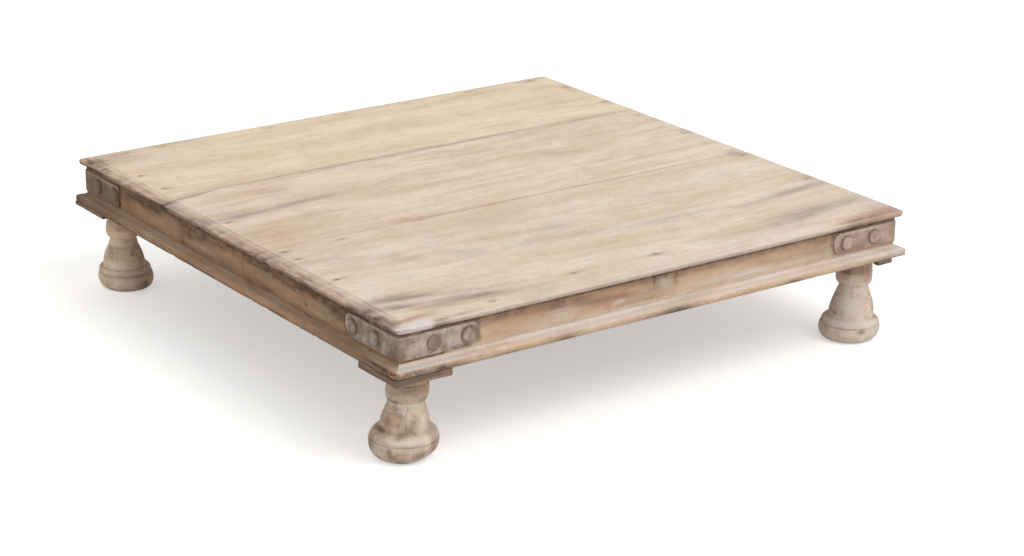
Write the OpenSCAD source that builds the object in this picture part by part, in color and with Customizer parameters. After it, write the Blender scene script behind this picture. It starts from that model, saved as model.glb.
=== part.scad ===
// Low square table in bleached, worn teak. Three boards with a moulded lip are nailed to a flat
// frame of four rails, half-lapped at the corners. A mitred moulding runs round under the frame.
// Four turned legs carry it: their tenons rise through moulding and lap and are wedged inside.
// Bent iron straps, each held by four domed nails, close the corners of the frame.
// Sizes are in millimetres. X runs along the front edge, Y to the back and Z up. The origin is
// on the floor, under the middle of the top.

/* [Top boards] */
// Width of the top along its front edge
top_w = 750; // [660:5:900]
// Depth of the top from front to back
top_d = 750; // [700:5:900]
// Thickness of the boards
board_t = 11.5; // [10:0.5:18]
// Width of the front board
front_board_w = 301; // [240:1:340]
// Width of the back board
back_board_w = 209; // [150:1:260]
// Open seam between two boards
seam_gap = 0.6; // [0.2:0.1:1.5]
// How far the rear seam dips towards the front at its left end
seam_dip = 17; // [0:1:40]
// Length of that dip along the seam
seam_dip_l = 115; // [40:5:300]

/* [Lip of the top] */
// How far the top stands out past the faces of the rails
overhang = 7.5; // [4:0.5:14]
// Width of the moulded band on the front and back edges
long_lip_w = 29; // [14:1:44]
// Width of the moulded band on the left and right edges
end_lip_w = 18.5; // [10:0.5:40]
// Depth of the small step where the band begins
lip_step = 0.6; // [0.3:0.1:1.6]
// Fall of the band from the step to the nose
lip_fall = 1.4; // [0.6:0.1:3]
// Height of the rounded nose
nose_h = 5.8; // [2.4:0.1:6.2]
// Radius of the worn front left corner, in plan
front_left_wear_r = 6; // [1:1:16]
// Radius of the worn front right corner, in plan
front_right_wear_r = 5; // [1:1:16]
// Radius of the worn back right corner, in plan
back_right_wear_r = 6; // [1:1:16]
// Radius of the worn back left corner, in plan
back_left_wear_r = 5; // [1:1:16]

/* [Frame] */
// Width of a rail, which lies flat
rail_w = 60; // [50:1:90]
// Height of a rail
rail_h = 33; // [30:1:50]
// Clearance at the shoulders of the half-laps and the batten housings
joint_gap = 0.1; // [0:0.05:0.4]

/* [Bottom moulding] */
// Height of the moulding
moulding_h = 13.5; // [10:0.5:22]
// How far its nose stands out past the faces of the rails
moulding_out = 12.5; // [9:0.5:20]
// Radius of the cove under the rail face
moulding_cove_r = 3.5; // [2:0.25:5]
// Fall of the slope between the cove and the nose
moulding_slope_h = 0.5; // [0.3:0.1:2]
// How far the rounded nose reaches in from its fullest line
moulding_nose_run = 5; // [3:0.5:6]
// Height of the moulding's fullest line above its underside
moulding_full_z = 4.5; // [2:0.25:6]
// How far the moulding draws back again at its underside
moulding_return = 0.6; // [0.3:0.1:3]

/* [Legs] */
// Height of the moulding's underside above the floor
leg_h = 112; // [104:1:180]
// Distance from the faces of the rails to the middle of a leg
leg_in = 33; // [28:0.5:36]
// Diameter of the feet's flat undersides
base_d = 54; // [48:1:64]
// Largest diameter of the front left foot
front_left_foot_d = 80; // [72:0.5:84]
// Largest diameter of the front right foot
front_right_foot_d = 76.5; // [72:0.5:84]
// Largest diameter of the back left foot
back_left_foot_d = 72; // [70:0.5:84]
// Largest diameter of the back right foot
back_right_foot_d = 76; // [72:0.5:84]
// Height of a foot's fullest line
foot_full_z = 15; // [8:1:17]
// Height of a foot up to its groove
foot_h = 22; // [19:1:28]
// How far a foot draws in from its fullest line to its groove
foot_taper = 1.2; // [0.5:0.1:3]
// Height of the rounded shoulder above the groove
shoulder_h = 9; // [6:0.5:12]
// Width of the ledge on the shoulder
ledge_w = 0.6; // [0.2:0.1:3]
// How far the vase stands in from the foot's fullest line
vase_in = 10; // [8:0.1:11]
// Diameter at the top of the vase
vase_top_d = 46; // [45.5:0.5:49]
// Step in from the vase to the neck
vase_step = 0.8; // [0.3:0.1:1.5]
// Height of the neck
neck_h = 12; // [6:1:16]
// Diameter of the front left neck, where it is thinnest
front_left_neck_d = 43; // [34:0.5:43.5]
// Diameter of the other three necks, where they are thinnest
neck_d = 36; // [32:0.5:43.5]
// Diameter of the bead above the neck
bead_d = 48.5; // [48:0.5:60]
// Height of the bead
bead_h = 20; // [10:1:24]
// Diameter of the collar at the head of the leg
collar_d = 46; // [36:0.5:47.5]
// Height of the collar
collar_h = 22; // [16:1:30]
// Width and depth of the turned groove
groove = 1.2; // [0.6:0.1:2]

/* [Leg tenons] */
// Diameter of the tenon
tenon_d = 25; // [16:0.5:32]
// Clearance round the tenon, on the radius
tenon_clear = 0.15; // [0.05:0.05:0.5]
// Gap between the tenon's end and the underside of the boards
tenon_short = 1; // [0.5:0.5:8]
// Length of the wedge driven into the tenon
wedge_l = 20; // [10:1:26]
// Thickness of the wedge at its head
wedge_head_t = 4; // [2.5:0.5:7]
// Thickness of the wedge at its tip
wedge_tip_t = 0.8; // [0.5:0.1:1.5]

/* [Leg pads] */
// Width of a square pad between leg and moulding
pad_w = 75; // [64:1:84]
// Thickness of the front left pad
pad_t = 9; // [4:0.5:14]
// Thickness of the other pads
thin_pad_t = 6; // [4:0.5:9]
// Bevel along the pads' lower edges
pad_bevel = 1.5; // [0.5:0.5:3]
// Distance from a pad's edges to its nails
pad_nail_in = 10; // [6:0.5:16]
// Length of the broken piece that is left of the front right pad
remnant_l = 25.5; // [16:0.5:40]
// Width of that broken piece
remnant_w = 16; // [8:1:18]
// Distance of its left end from the middle of the leg
remnant_off = 0.5; // [-4:0.5:6]

/* [Corner straps] */
// Length of the front left strap along each rail
front_left_strap_l = 105; // [102:1:140]
// Length of the front right strap along each rail
front_right_strap_l = 101; // [92:1:140]
// Length of the back left strap along each rail
back_left_strap_l = 92; // [92:1:140]
// Length of the back right strap along each rail
back_right_strap_l = 100; // [92:1:140]
// Height of a strap
strap_h = 28.5; // [22:0.5:29]
// Thickness of a strap
strap_t = 2; // [1:0.25:3.5]
// Radius of the strap's end corners
strap_end_r = 11; // [2:0.5:12]
// Radius of the bend, on the outside
strap_bend_r = 3; // [1:0.5:6]
// Distance from the corner to the front left strap's first nail
front_left_nail_in = 45; // [36:1:46]
// Distance from the corner to the other straps' first nail
strap_nail_in = 36; // [35:0.5:37]
// Distance from a strap's first nail to its second
strap_nail_pitch = 45; // [38:1:46]
// Height of the strap's lower edge above the foot of the rail
strap_rise = 2.5; // [0.5:0.5:4]

/* [Nails] */
// Diameter of the domed heads on the straps
dome_d = 19; // [12:0.5:20]
// Rise of the domed heads
dome_rise = 4.5; // [2:0.25:8]
// Height of the rim below a dome
dome_rim = 0.6; // [0.3:0.1:1.5]
// Diameter of the shanks of the domed nails
dome_shank_d = 4.5; // [3:0.25:6]
// Length of those shanks in the rail
dome_shank_l = 14; // [8:1:18]
// Diameter of the heads of the plain nails
nail_head_d = 7; // [4:0.5:9]
// Thickness of those heads
nail_head_t = 1.2; // [0.8:0.1:2]
// Diameter of their shanks
nail_d = 3; // [2:0.1:4]
// How far a plain nail's head lies below the wood
nail_sink = 0.3; // [0.1:0.1:1]
// Length of the nails that hold the boards
board_nail_l = 30; // [22:1:40]
// Length of the nails that hold the moulding
moulding_nail_l = 26; // [20:1:36]
// Length of the nails that hold the battens
batten_nail_l = 26; // [21:0.5:27]
// Length of the nails that hold the pads
pad_nail_l = 14; // [12:0.5:14.5]
// Clearance round every nail, on the radius
nail_clear = 0.05; // [0.02:0.01:0.2]
// Distance from the front rail's face to its row of board nails
front_nail_in = 34; // [20:1:44]
// Distance from the left rail's face to its row of board nails
left_nail_in = 24.5; // [16:0.5:44]
// Distance from the back and right rails' faces to their rows of board nails
far_nail_in = 6; // [5:0.5:20]

/* [Battens] */
// Distance of each batten from the middle of the table
batten_at = 150; // [80:5:220]
// Width of a batten
batten_w = 45; // [30:1:70]
// Height of a batten
batten_h = 18; // [12:1:22]
// How far a batten's ends reach into the front and back rails
batten_lap = 15; // [6:1:24]

/* [Hidden] */

// Shares of each board's width, counted from its front edge, at which nails stand
left_nail_shares = [[0.57, 0.85, 0.95], [0.48], [0.17, 0.47]];
right_nail_shares = [[0.55, 0.96], [0.46, 0.89], [0.25, 0.68]];
// Shares of the top's width, counted from the left, at which nails stand
front_nail_shares = [0.19, 0.36, 0.52];
back_nail_shares = [0.08, 0.155, 0.37, 0.53, 0.665, 0.81, 0.95];
// The nails under a moulding, as shares of its half length from the middle
moulding_nail_shares = [-0.6, 0, 0.6];
// The nails from a batten into each board, as shares of the board's stretch between the rails
batten_nail_shares = [0.2, 0.8];

// Heights of the seats, from the floor up
rail_z = leg_h + moulding_h;
lap_z = rail_z + rail_h / 2;
frame_top = rail_z + rail_h;
table_h = frame_top + board_t;
tenon_top = frame_top - tenon_short;
strap_z = rail_z + strap_rise;
strap_mid_z = strap_z + strap_h / 2;
batten_z = frame_top - batten_h;

// Half sizes in plan
half_w = top_w / 2;
half_d = top_d / 2;
face_x = half_w - overhang;
face_y = half_d - overhang;
leg_x = face_x - leg_in;
leg_y = face_y - leg_in;
pad_edge = moulding_out - moulding_return;

// Height of the moulding where its nose begins, and the longest nail that this hides above a pad
nose_top = moulding_h - moulding_cove_r - moulding_slope_h;
nail_cover = 1;
pad_nail_fit = min(pad_nail_l, thin_pad_t + nose_top - nail_cover);

// Seams between the boards, as distances along Y
front_seam_y = front_board_w - half_d;
back_seam_y = half_d - back_board_w;

// Lip section
nose_r = nose_h / 2;
cove_h = board_t - lip_step - lip_fall - nose_h;
cove_run = min(cove_h, overhang - nose_r);
band_power = 1.7;
vase_power = 1.8;
past = 1;

pale_teak = [0.84, 0.77, 0.66];
warm_teak = [0.74, 0.62, 0.50];
dark_teak = [0.55, 0.43, 0.33];
old_iron = [0.42, 0.37, 0.33];
nail_iron = [0.30, 0.26, 0.23];

// Points on an arc with half axes rx and ry about (cx, cy), in n steps from angle a0 to a1
function arc(cx, cy, rx, ry, a0, a1, n) =
    [for (i = [0:n]) let (a = a0 + (a1 - a0) * i / n) [cx + rx * cos(a), cy + ry * sin(a)]];

// Points on a cosine ease from (r0, z0) to (r1, z1), in n steps, without the first
function ease(r0, z0, r1, z1, n) =
    [for (i = [1:n]) let (t = i / n) [r0 + (r1 - r0) * (1 - cos(180 * t)) / 2, z0 + (z1 - z0) * t]];

// The same list of plan points seen from another corner, with sx and sy each 1 or -1
function turned_to(points, sx, sy) = [for (p = points) [sx * p[0], sy * p[1]]];

// How far the band on an edge has fallen at a distance from that edge
function band_drop(from_edge, lip_w) = from_edge >= lip_w ? 0
    : lip_step + lip_fall * pow((lip_w - from_edge) / (lip_w - nose_r), band_power);

// Half section of the top across one edge: step, falling band, round nose and cove to the rail
function lip_section(half, lip_w) =
    let (steps = 7, band = lip_w - nose_r, nose_z = frame_top + cove_h + nose_r)
    concat([[half - lip_w, table_h]],
           [for (i = [0:steps]) let (run = band * i / steps)
               [half - lip_w + run, table_h - lip_step - lip_fall * pow(run / band, band_power)]],
           arc(half - nose_r, nose_z, nose_r, nose_r, 75, -90, 8),
           arc(half - overhang + cove_run, frame_top, cove_run, cove_h, 90, 180, 6));

// Whole section, closed across the table
function slab_section(half, lip_w) =
    let (side = lip_section(half, lip_w), last = len(side) - 1)
    concat(side, [for (i = [last:-1:0]) [-side[i][0], side[i][1]]]);

// Outline of the top in plan, with each corner worn to its own radius
function worn_plan() = concat(
    arc(half_w - back_right_wear_r, half_d - back_right_wear_r,
        back_right_wear_r, back_right_wear_r, 0, 90, 6),
    arc(back_left_wear_r - half_w, half_d - back_left_wear_r,
        back_left_wear_r, back_left_wear_r, 90, 180, 6),
    arc(front_left_wear_r - half_w, front_left_wear_r - half_d,
        front_left_wear_r, front_left_wear_r, 180, 270, 6),
    arc(half_w - front_right_wear_r, front_right_wear_r - half_d,
        front_right_wear_r, front_right_wear_r, 270, 360, 6));

// The rear seam at a distance x from the middle: straight, but easing down at its left end
function back_seam_at(x) = let (t = min(1, (x + half_w) / seam_dip_l))
    back_seam_y - seam_dip * (1 + cos(180 * t)) / 2;

// The rear seam's points from left to right, moved by half the open seam to one side
function back_seam_line(shift) = let (steps = 8)
    concat([[-half_w - past, back_seam_at(-half_w) + shift]],
           [for (i = [0:steps]) let (x = seam_dip_l * i / steps - half_w) [x, back_seam_at(x) + shift]],
           [[half_w + past, back_seam_y + shift]]);

// A flat outline carried along Y or along X, between two places
module along_y(y0, y1) {
    translate([0, y1, 0]) rotate([90, 0, 0]) linear_extrude(y1 - y0) children();
}

module along_x(x0, x1) {
    translate([x0, 0, 0]) rotate([90, 0, 90]) linear_extrude(x1 - x0) children();
}

// The whole top before it is cut into boards: two moulded sections crossed, which mitres the lip
module moulded_slab() {
    intersection() {
        along_x(-half_w - past, half_w + past) polygon(slab_section(half_d, long_lip_w));
        along_y(-half_d - past, half_d + past) polygon(slab_section(half_w, end_lip_w));
        translate([0, 0, frame_top - past]) linear_extrude(board_t + 2 * past) polygon(worn_plan());
    }
}

// One board: the slab inside a plan outline, less the holes for its nails
module board(outline) {
    difference() {
        intersection() {
            moulded_slab();
            translate([0, 0, frame_top - past]) linear_extrude(board_t + 2 * past) polygon(outline);
        }
        board_nail_places() nail_hole(board_nail_l);
        batten_nail_places() nail_hole(batten_nail_l);
    }
}

module top_board_front() {
    y = front_seam_y - seam_gap / 2;
    color(pale_teak)
        board([[-half_w - past, -half_d - past], [half_w + past, -half_d - past],
               [half_w + past, y], [-half_w - past, y]]);
}

module top_board_middle() {
    y = front_seam_y + seam_gap / 2;
    color(pale_teak)
        board(concat([[half_w + past, y], [-half_w - past, y]], back_seam_line(-seam_gap / 2)));
}

module top_board_back() {
    color(pale_teak)
        board(concat([[half_w + past, half_d + past], [-half_w - past, half_d + past]],
                     back_seam_line(seam_gap / 2)));
}

// A plain nail with its point up: flat head at z = 0, shank rising to its length
module plain_nail(l) {
    cylinder(h = nail_head_t, d = nail_head_d, $fn = 32);
    translate([0, 0, nail_head_t]) cylinder(h = l - nail_head_t - nail_d, d = nail_d, $fn = 32);
    translate([0, 0, l - nail_d]) cylinder(h = nail_d, d1 = nail_d, d2 = nail_d / 3, $fn = 32);
}

// The hole that a plain nail fills, open from its head outwards
module nail_hole(l) {
    d = nail_d + 2 * nail_clear;
    head_d = nail_head_d + 2 * nail_clear;
    translate([0, 0, -nail_sink - past]) cylinder(h = nail_head_t + nail_sink + past, d = head_d, $fn = 32);
    cylinder(h = l + nail_clear, d = d, $fn = 32);
}

// A nail's place in the top: it points down, and its head lies just under the wood
module board_nail_at(x, y) {
    drop = max(band_drop(half_w - abs(x), end_lip_w), band_drop(half_d - abs(y), long_lip_w));
    translate([x, y, table_h - drop - nail_sink]) rotate([180, 0, 0]) children();
}

// Front edges and widths of the three boards
board_edges = [-half_d, front_seam_y, back_seam_y];
board_widths = [front_board_w, top_d - front_board_w - back_board_w, back_board_w];

module board_nail_places() {
    for (b = [0:2]) {
        for (s = left_nail_shares[b])
            board_nail_at(left_nail_in - face_x, board_edges[b] + s * board_widths[b]) children();
        for (s = right_nail_shares[b])
            board_nail_at(face_x - far_nail_in, board_edges[b] + s * board_widths[b]) children();
    }
    for (s = front_nail_shares)
        board_nail_at(s * top_w - half_w, front_nail_in - face_y) children();
    for (s = back_nail_shares)
        board_nail_at(s * top_w - half_w, face_y - far_nail_in) children();
}

module board_nails() {
    color(nail_iron) board_nail_places() plain_nail(board_nail_l);
}

// The stretch of a board along Y that lies between the front and the back rail
function open_stretch(b) = let (inner = face_y - rail_w)
    [max(board_edges[b], -inner), min(board_edges[b] + board_widths[b], inner)];

// Each batten is nailed up into the three boards
module batten_nail_places() {
    for (sx = [-1, 1], b = [0:2], s = batten_nail_shares) {
        ends = open_stretch(b);
        translate([sx * batten_at, ends[0] + s * (ends[1] - ends[0]), batten_z + nail_sink])
            children();
    }
}

module batten_nails() {
    color(nail_iron) batten_nail_places() plain_nail(batten_nail_l);
}

// Each moulding is nailed up into the rail above it
module moulding_nail_places() {
    for (s = moulding_nail_shares, side = [-1, 1]) {
        translate([s * face_x, side * (face_y - rail_w / 2), leg_h + nail_sink]) children();
        translate([side * (face_x - rail_w / 2), s * face_y, leg_h + nail_sink]) children();
    }
}

module moulding_nails() {
    color(nail_iron) moulding_nail_places() plain_nail(moulding_nail_l);
}

// Two nails hold each whole pad at opposite corners, and one the broken piece
remnant_x = leg_x + remnant_off;
remnant_y = -face_y - pad_edge;

module whole_pad_nails(sx, sy, t) {
    near = pad_edge - pad_nail_in;
    far = pad_edge - pad_w + pad_nail_in;
    translate([sx * (face_x + near), sy * (face_y + far), leg_h - t + nail_sink]) children();
    translate([sx * (face_x + far), sy * (face_y + near), leg_h - t + nail_sink]) children();
}

module pad_nail_places() {
    whole_pad_nails(-1, -1, pad_t) children();
    whole_pad_nails(-1, 1, thin_pad_t) children();
    whole_pad_nails(1, 1, thin_pad_t) children();
    translate([remnant_x + remnant_l / 2, remnant_y + remnant_w / 2, leg_h - thin_pad_t + nail_sink])
        children();
}

module pad_nails() {
    color(nail_iron) pad_nail_places() plain_nail(pad_nail_fit);
}

// A round tenon's hole at one leg, from under the pad to above the frame
module tenon_hole(sx, sy) {
    translate([sx * leg_x, sy * leg_y, leg_h - pad_t - past])
        cylinder(h = pad_t + moulding_h + rail_h + 2 * past, d = tenon_d + 2 * tenon_clear, $fn = 64);
}

// The places of one strap's four nails: on the strap's faces, each looking out
module strap_nail_places(sx, sy) {
    first = sx + sy < -1 ? front_left_nail_in : strap_nail_in;
    for (d = [first, first + strap_nail_pitch]) {
        translate([sx * (face_x - d), sy * (face_y + strap_t), strap_mid_z])
            rotate([sy < 0 ? 90 : -90, 0, 0]) children();
        translate([sx * (face_x + strap_t), sy * (face_y - d), strap_mid_z])
            rotate([0, sx < 0 ? -90 : 90, 0]) children();
    }
}

// A hand-made nail with a domed head, whose shank goes back through strap and rail
module domed_nail() {
    r = dome_d / 2;
    cap_r = (r * r + dome_rise * dome_rise) / (2 * dome_rise);
    cap_angle = asin(min(1, r / cap_r));
    rotate_extrude($fn = 48)
        polygon(concat([[0, 0], [r, 0]],
                       arc(0, dome_rim + dome_rise - cap_r, cap_r, cap_r, 90 - cap_angle, 90, 8)));
    tip = dome_shank_d;
    translate([0, 0, -strap_t - dome_shank_l + tip])
        cylinder(h = strap_t + dome_shank_l - tip, d = dome_shank_d, $fn = 32);
    translate([0, 0, -strap_t - dome_shank_l])
        cylinder(h = tip, d1 = dome_shank_d / 3, d2 = dome_shank_d, $fn = 32);
}

module domed_nail_hole() {
    translate([0, 0, -strap_t - dome_shank_l - nail_clear])
        cylinder(h = strap_t + dome_shank_l + past, d = dome_shank_d + 2 * nail_clear, $fn = 32);
}

// A rail along X at the front or back. At both corners it keeps only the upper half of its lap.
module long_rail(sy) {
    difference() {
        translate([-face_x, sy > 0 ? face_y - rail_w : -face_y, rail_z])
            cube([2 * face_x, rail_w, rail_h]);
        for (sx = [-1, 1]) {
            translate([sx > 0 ? face_x - rail_w - joint_gap : -face_x - past,
                       sy > 0 ? face_y - rail_w - past : -face_y - past, rail_z - past])
                cube([rail_w + joint_gap + past, rail_w + 2 * past, rail_h / 2 + past]);
            tenon_hole(sx, sy);
            strap_nail_places(sx, sy) domed_nail_hole();
            batten_housing(sx, sy);
        }
        board_nail_places() nail_hole(board_nail_l);
        moulding_nail_places() nail_hole(moulding_nail_l);
    }
}

// A rail along Y at the left or right. At both corners it keeps the lower half.
module short_rail(sx) {
    difference() {
        translate([sx > 0 ? face_x - rail_w : -face_x, -face_y, rail_z])
            cube([rail_w, 2 * face_y, rail_h]);
        for (sy = [-1, 1]) {
            translate([sx > 0 ? face_x - rail_w - past : -face_x - past,
                       sy > 0 ? face_y - rail_w - joint_gap : -face_y - past, lap_z])
                cube([rail_w + 2 * past, rail_w + joint_gap + past, rail_h / 2 + past]);
            tenon_hole(sx, sy);
            strap_nail_places(sx, sy) domed_nail_hole();
        }
        board_nail_places() nail_hole(board_nail_l);
        moulding_nail_places() nail_hole(moulding_nail_l);
    }
}

// The housing that a batten's end drops into
module batten_housing(sx, sy) {
    w = batten_w + 2 * joint_gap;
    y_in = face_y - rail_w - past;
    y_out = face_y - rail_w + batten_lap + joint_gap;
    translate([sx * batten_at - w / 2, sy > 0 ? y_in : -y_out, batten_z])
        cube([w, y_out - y_in, batten_h + past]);
}

module front_rail() { color(warm_teak) long_rail(-1); }
module back_rail() { color(warm_teak) long_rail(1); }
module left_rail() { color(dark_teak) short_rail(-1); }
module right_rail() { color(warm_teak) short_rail(1); }

// A batten under the boards, with its ends housed in the front and back rails
module batten(sx) {
    l = 2 * (face_y - rail_w + batten_lap);
    color(warm_teak) difference() {
        translate([sx * batten_at - batten_w / 2, -l / 2, batten_z]) cube([batten_w, l, batten_h]);
        batten_nail_places() nail_hole(batten_nail_l);
    }
}

module left_batten() { batten(-1); }
module right_batten() { batten(1); }

// Section of the bottom moulding, with 0 at the rail's face: cove, slope, round nose and return
function moulding_section() =
    concat([[-rail_w, 0], [-rail_w, moulding_h], [0, moulding_h]],
           arc(moulding_cove_r, moulding_h, moulding_cove_r, moulding_cove_r, 180, 270, 5),
           arc(moulding_out - moulding_nose_run, moulding_full_z,
               moulding_nose_run, nose_top - moulding_full_z, 90, 0, 7),
           ease(moulding_out, moulding_full_z, moulding_out - moulding_return, 0, 3));

// One strip of moulding, made for the front and turned to its side, with its ends mitred
module moulding_strip(half_l, half_off, turn) {
    outer = half_l + moulding_out;
    inner = half_l - rail_w;
    difference() {
        rotate([0, 0, turn]) intersection() {
            translate([-outer, -half_off, leg_h]) rotate([90, 0, 90])
                linear_extrude(2 * outer) polygon(turned_to(moulding_section(), -1, 1));
            translate([0, -half_off, leg_h - past]) linear_extrude(moulding_h + 2 * past)
                polygon([[-outer, -moulding_out], [outer, -moulding_out],
                         [inner, rail_w], [-inner, rail_w]]);
        }
        for (sx = [-1, 1], sy = [-1, 1]) tenon_hole(sx, sy);
        moulding_nail_places() nail_hole(moulding_nail_l);
        pad_nail_places() nail_hole(pad_nail_fit);
    }
}

module front_moulding() { color(warm_teak) moulding_strip(face_x, face_y, 0); }
module right_moulding() { color(warm_teak) moulding_strip(face_y, face_x, 90); }
module back_moulding() { color(warm_teak) moulding_strip(face_x, face_y, 180); }
module left_moulding() { color(dark_teak) moulding_strip(face_y, face_x, 270); }

// A curve that leaves (r0, z0) straight up and bends in more and more to (r1, z1), in n steps
function swell(r0, z0, r1, z1, power, n) =
    [for (i = [0:n]) let (t = i / n) [r0 + (r1 - r0) * pow(t, power), z0 + (z1 - z0) * t]];

// Half section of a turned leg whose collar ends at the height stand, with the tenon above it:
// drum foot, groove, rounded shoulder with a ledge, bell-shaped vase, neck, bead and collar
function leg_section(stand, foot_d, thin_d) =
    let (base_r = base_d / 2, foot_r = foot_d / 2, vase_r = foot_r - vase_in, top_r = vase_top_d / 2,
         neck_r = thin_d / 2, bead_r = bead_d / 2, collar_r = collar_d / 2, tenon_r = tenon_d / 2,
         groove_r = foot_r - foot_taper, shoulder_r = groove_r - groove / 3,
         shoulder_z = foot_h + groove, ledge_z = shoulder_z + shoulder_h,
         bead_z = leg_h - collar_h - bead_h, bead_mid = bead_z + bead_h / 2, neck_z = bead_z - neck_h)
    concat([[0, 0]],
           arc(base_r, foot_full_z, foot_r - base_r, foot_full_z, -90, 0, 8),
           swell(foot_r, foot_full_z, groove_r, foot_h, 2, 4),
           [[groove_r - groove, foot_h + groove / 2]],
           arc(vase_r + ledge_w, shoulder_z, shoulder_r - vase_r - ledge_w, shoulder_h, 0, 90, 6),
           swell(vase_r, ledge_z, top_r, neck_z, vase_power, 7),
           [[top_r - vase_step, neck_z + vase_step]],
           ease(top_r - vase_step, neck_z + vase_step, neck_r, bead_z, 4),
           arc(neck_r, bead_mid, bead_r - neck_r, bead_h / 2, -80, 0, 6),
           arc(collar_r, bead_mid, bead_r - collar_r, bead_h / 2, 15, 90, 5),
           [[collar_r, stand], [tenon_r, stand], [tenon_r, tenon_top - past],
            [tenon_r - past, tenon_top], [0, tenon_top]]);

// The tapered wedge, and the kerf that it fills, standing across the grain of the long rails
module wedge_body(sx, sy) {
    translate([sx * leg_x, sy * leg_y, 0]) intersection() {
        along_y(-tenon_d, tenon_d)
            polygon([[-wedge_head_t / 2, tenon_top], [wedge_head_t / 2, tenon_top],
                     [wedge_tip_t / 2, tenon_top - wedge_l], [-wedge_tip_t / 2, tenon_top - wedge_l]]);
        translate([0, 0, tenon_top - wedge_l - past])
            cylinder(h = wedge_l + past, d = tenon_d, $fn = 64);
    }
}

module wedge_kerf(sx, sy) {
    translate([sx * leg_x, sy * leg_y, 0])
        along_y(-tenon_d, tenon_d)
            polygon([[-wedge_head_t / 2, tenon_top + past], [-wedge_head_t / 2, tenon_top],
                     [-wedge_tip_t / 2, tenon_top - wedge_l], [wedge_tip_t / 2, tenon_top - wedge_l],
                     [wedge_head_t / 2, tenon_top], [wedge_head_t / 2, tenon_top + past]]);
}

module leg(sx, sy, stand, foot_d, thin_d) {
    color(warm_teak) difference() {
        translate([sx * leg_x, sy * leg_y, 0])
            rotate_extrude($fn = 72) polygon(leg_section(stand, foot_d, thin_d));
        wedge_kerf(sx, sy);
    }
}

module front_left_leg() { leg(-1, -1, leg_h - pad_t, front_left_foot_d, front_left_neck_d); }
module front_right_leg() { leg(1, -1, leg_h, front_right_foot_d, neck_d); }
module back_left_leg() { leg(-1, 1, leg_h - thin_pad_t, back_left_foot_d, neck_d); }
module back_right_leg() { leg(1, 1, leg_h - thin_pad_t, back_right_foot_d, neck_d); }

module front_left_wedge() { color(pale_teak) wedge_body(-1, -1); }
module front_right_wedge() { color(pale_teak) wedge_body(1, -1); }
module back_left_wedge() { color(pale_teak) wedge_body(-1, 1); }
module back_right_wedge() { color(pale_teak) wedge_body(1, 1); }

// Section of a pad of thickness t, from its outer edge inwards, with its lower edges bevelled
function pad_section(edge, t) =
    [[edge, leg_h], [edge, leg_h - t + pad_bevel], [edge - pad_bevel, leg_h - t],
     [edge - pad_w + pad_bevel, leg_h - t], [edge - pad_w, leg_h - t + pad_bevel],
     [edge - pad_w, leg_h]];

// A whole square pad, made for the back right leg and turned to its corner
module pad(sx, sy, t) {
    edge_x = face_x + pad_edge;
    edge_y = face_y + pad_edge;
    color(dark_teak) difference() {
        intersection() {
            along_x(sx > 0 ? 0 : -edge_x - past, sx > 0 ? edge_x + past : 0)
                polygon(turned_to(pad_section(edge_y, t), sy, 1));
            along_y(sy > 0 ? 0 : -edge_y - past, sy > 0 ? edge_y + past : 0)
                polygon(turned_to(pad_section(edge_x, t), sx, 1));
        }
        tenon_hole(sx, sy);
        pad_nail_places() nail_hole(pad_nail_fit);
    }
}

module front_left_pad() { pad(-1, -1, pad_t); }
module back_left_pad() { pad(-1, 1, thin_pad_t); }
module back_right_pad() { pad(1, 1, thin_pad_t); }

// The broken edge of the front right pad, as shares of the remnant's length and width
break_shares = [[0.5, 0.85], [0.2, 0.95], [-0.08, 0.6]];

// What is left of the front right pad: a splinter along its front edge, in front of the collar
module front_right_pad_remnant() {
    r = remnant_w / 2;
    color(dark_teak) difference() {
        translate([remnant_x, remnant_y, leg_h - thin_pad_t]) linear_extrude(thin_pad_t)
            polygon(concat([[0, 0]], arc(remnant_l - r, r, r, r, -90, 55, 6),
                           [for (p = break_shares) [p[0] * remnant_l, p[1] * remnant_w]]));
        pad_nail_places() nail_hole(pad_nail_fit);
    }
}

// A strap in plan: two arms along the rail faces and a rounded bend at the corner
function strap_plan(l) =
    concat([[face_x - l, face_y], [face_x - l, face_y + strap_t]],
           arc(face_x + strap_t - strap_bend_r, face_y + strap_t - strap_bend_r,
               strap_bend_r, strap_bend_r, 90, 0, 5),
           [[face_x + strap_t, face_y - l], [face_x, face_y - l], [face_x, face_y]]);

// One arm seen square on, from a face's corner inwards, with its end corners rounded
function strap_face(face, l) =
    concat([[face + strap_t + past, strap_z], [face + strap_t + past, strap_z + strap_h]],
           arc(face - l + strap_end_r, strap_z + strap_h - strap_end_r,
               strap_end_r, strap_end_r, 90, 180, 6),
           arc(face - l + strap_end_r, strap_z + strap_end_r, strap_end_r, strap_end_r, 180, 270, 6));

module strap(sx, sy, l) {
    reach = strap_t + past;
    color(old_iron) difference() {
        intersection() {
            translate([0, 0, strap_z]) linear_extrude(strap_h) polygon(turned_to(strap_plan(l), sx, sy));
            union() {
                along_y(sy > 0 ? face_y - past : -face_y - reach, sy > 0 ? face_y + reach : past - face_y)
                    polygon(turned_to(strap_face(face_x, l), sx, 1));
                along_x(sx > 0 ? face_x - past : -face_x - reach, sx > 0 ? face_x + reach : past - face_x)
                    polygon(turned_to(strap_face(face_y, l), sy, 1));
            }
        }
        strap_nail_places(sx, sy) domed_nail_hole();
    }
}

module front_left_strap() { strap(-1, -1, front_left_strap_l); }
module front_right_strap() { strap(1, -1, front_right_strap_l); }
module back_left_strap() { strap(-1, 1, back_left_strap_l); }
module back_right_strap() { strap(1, 1, back_right_strap_l); }

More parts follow.
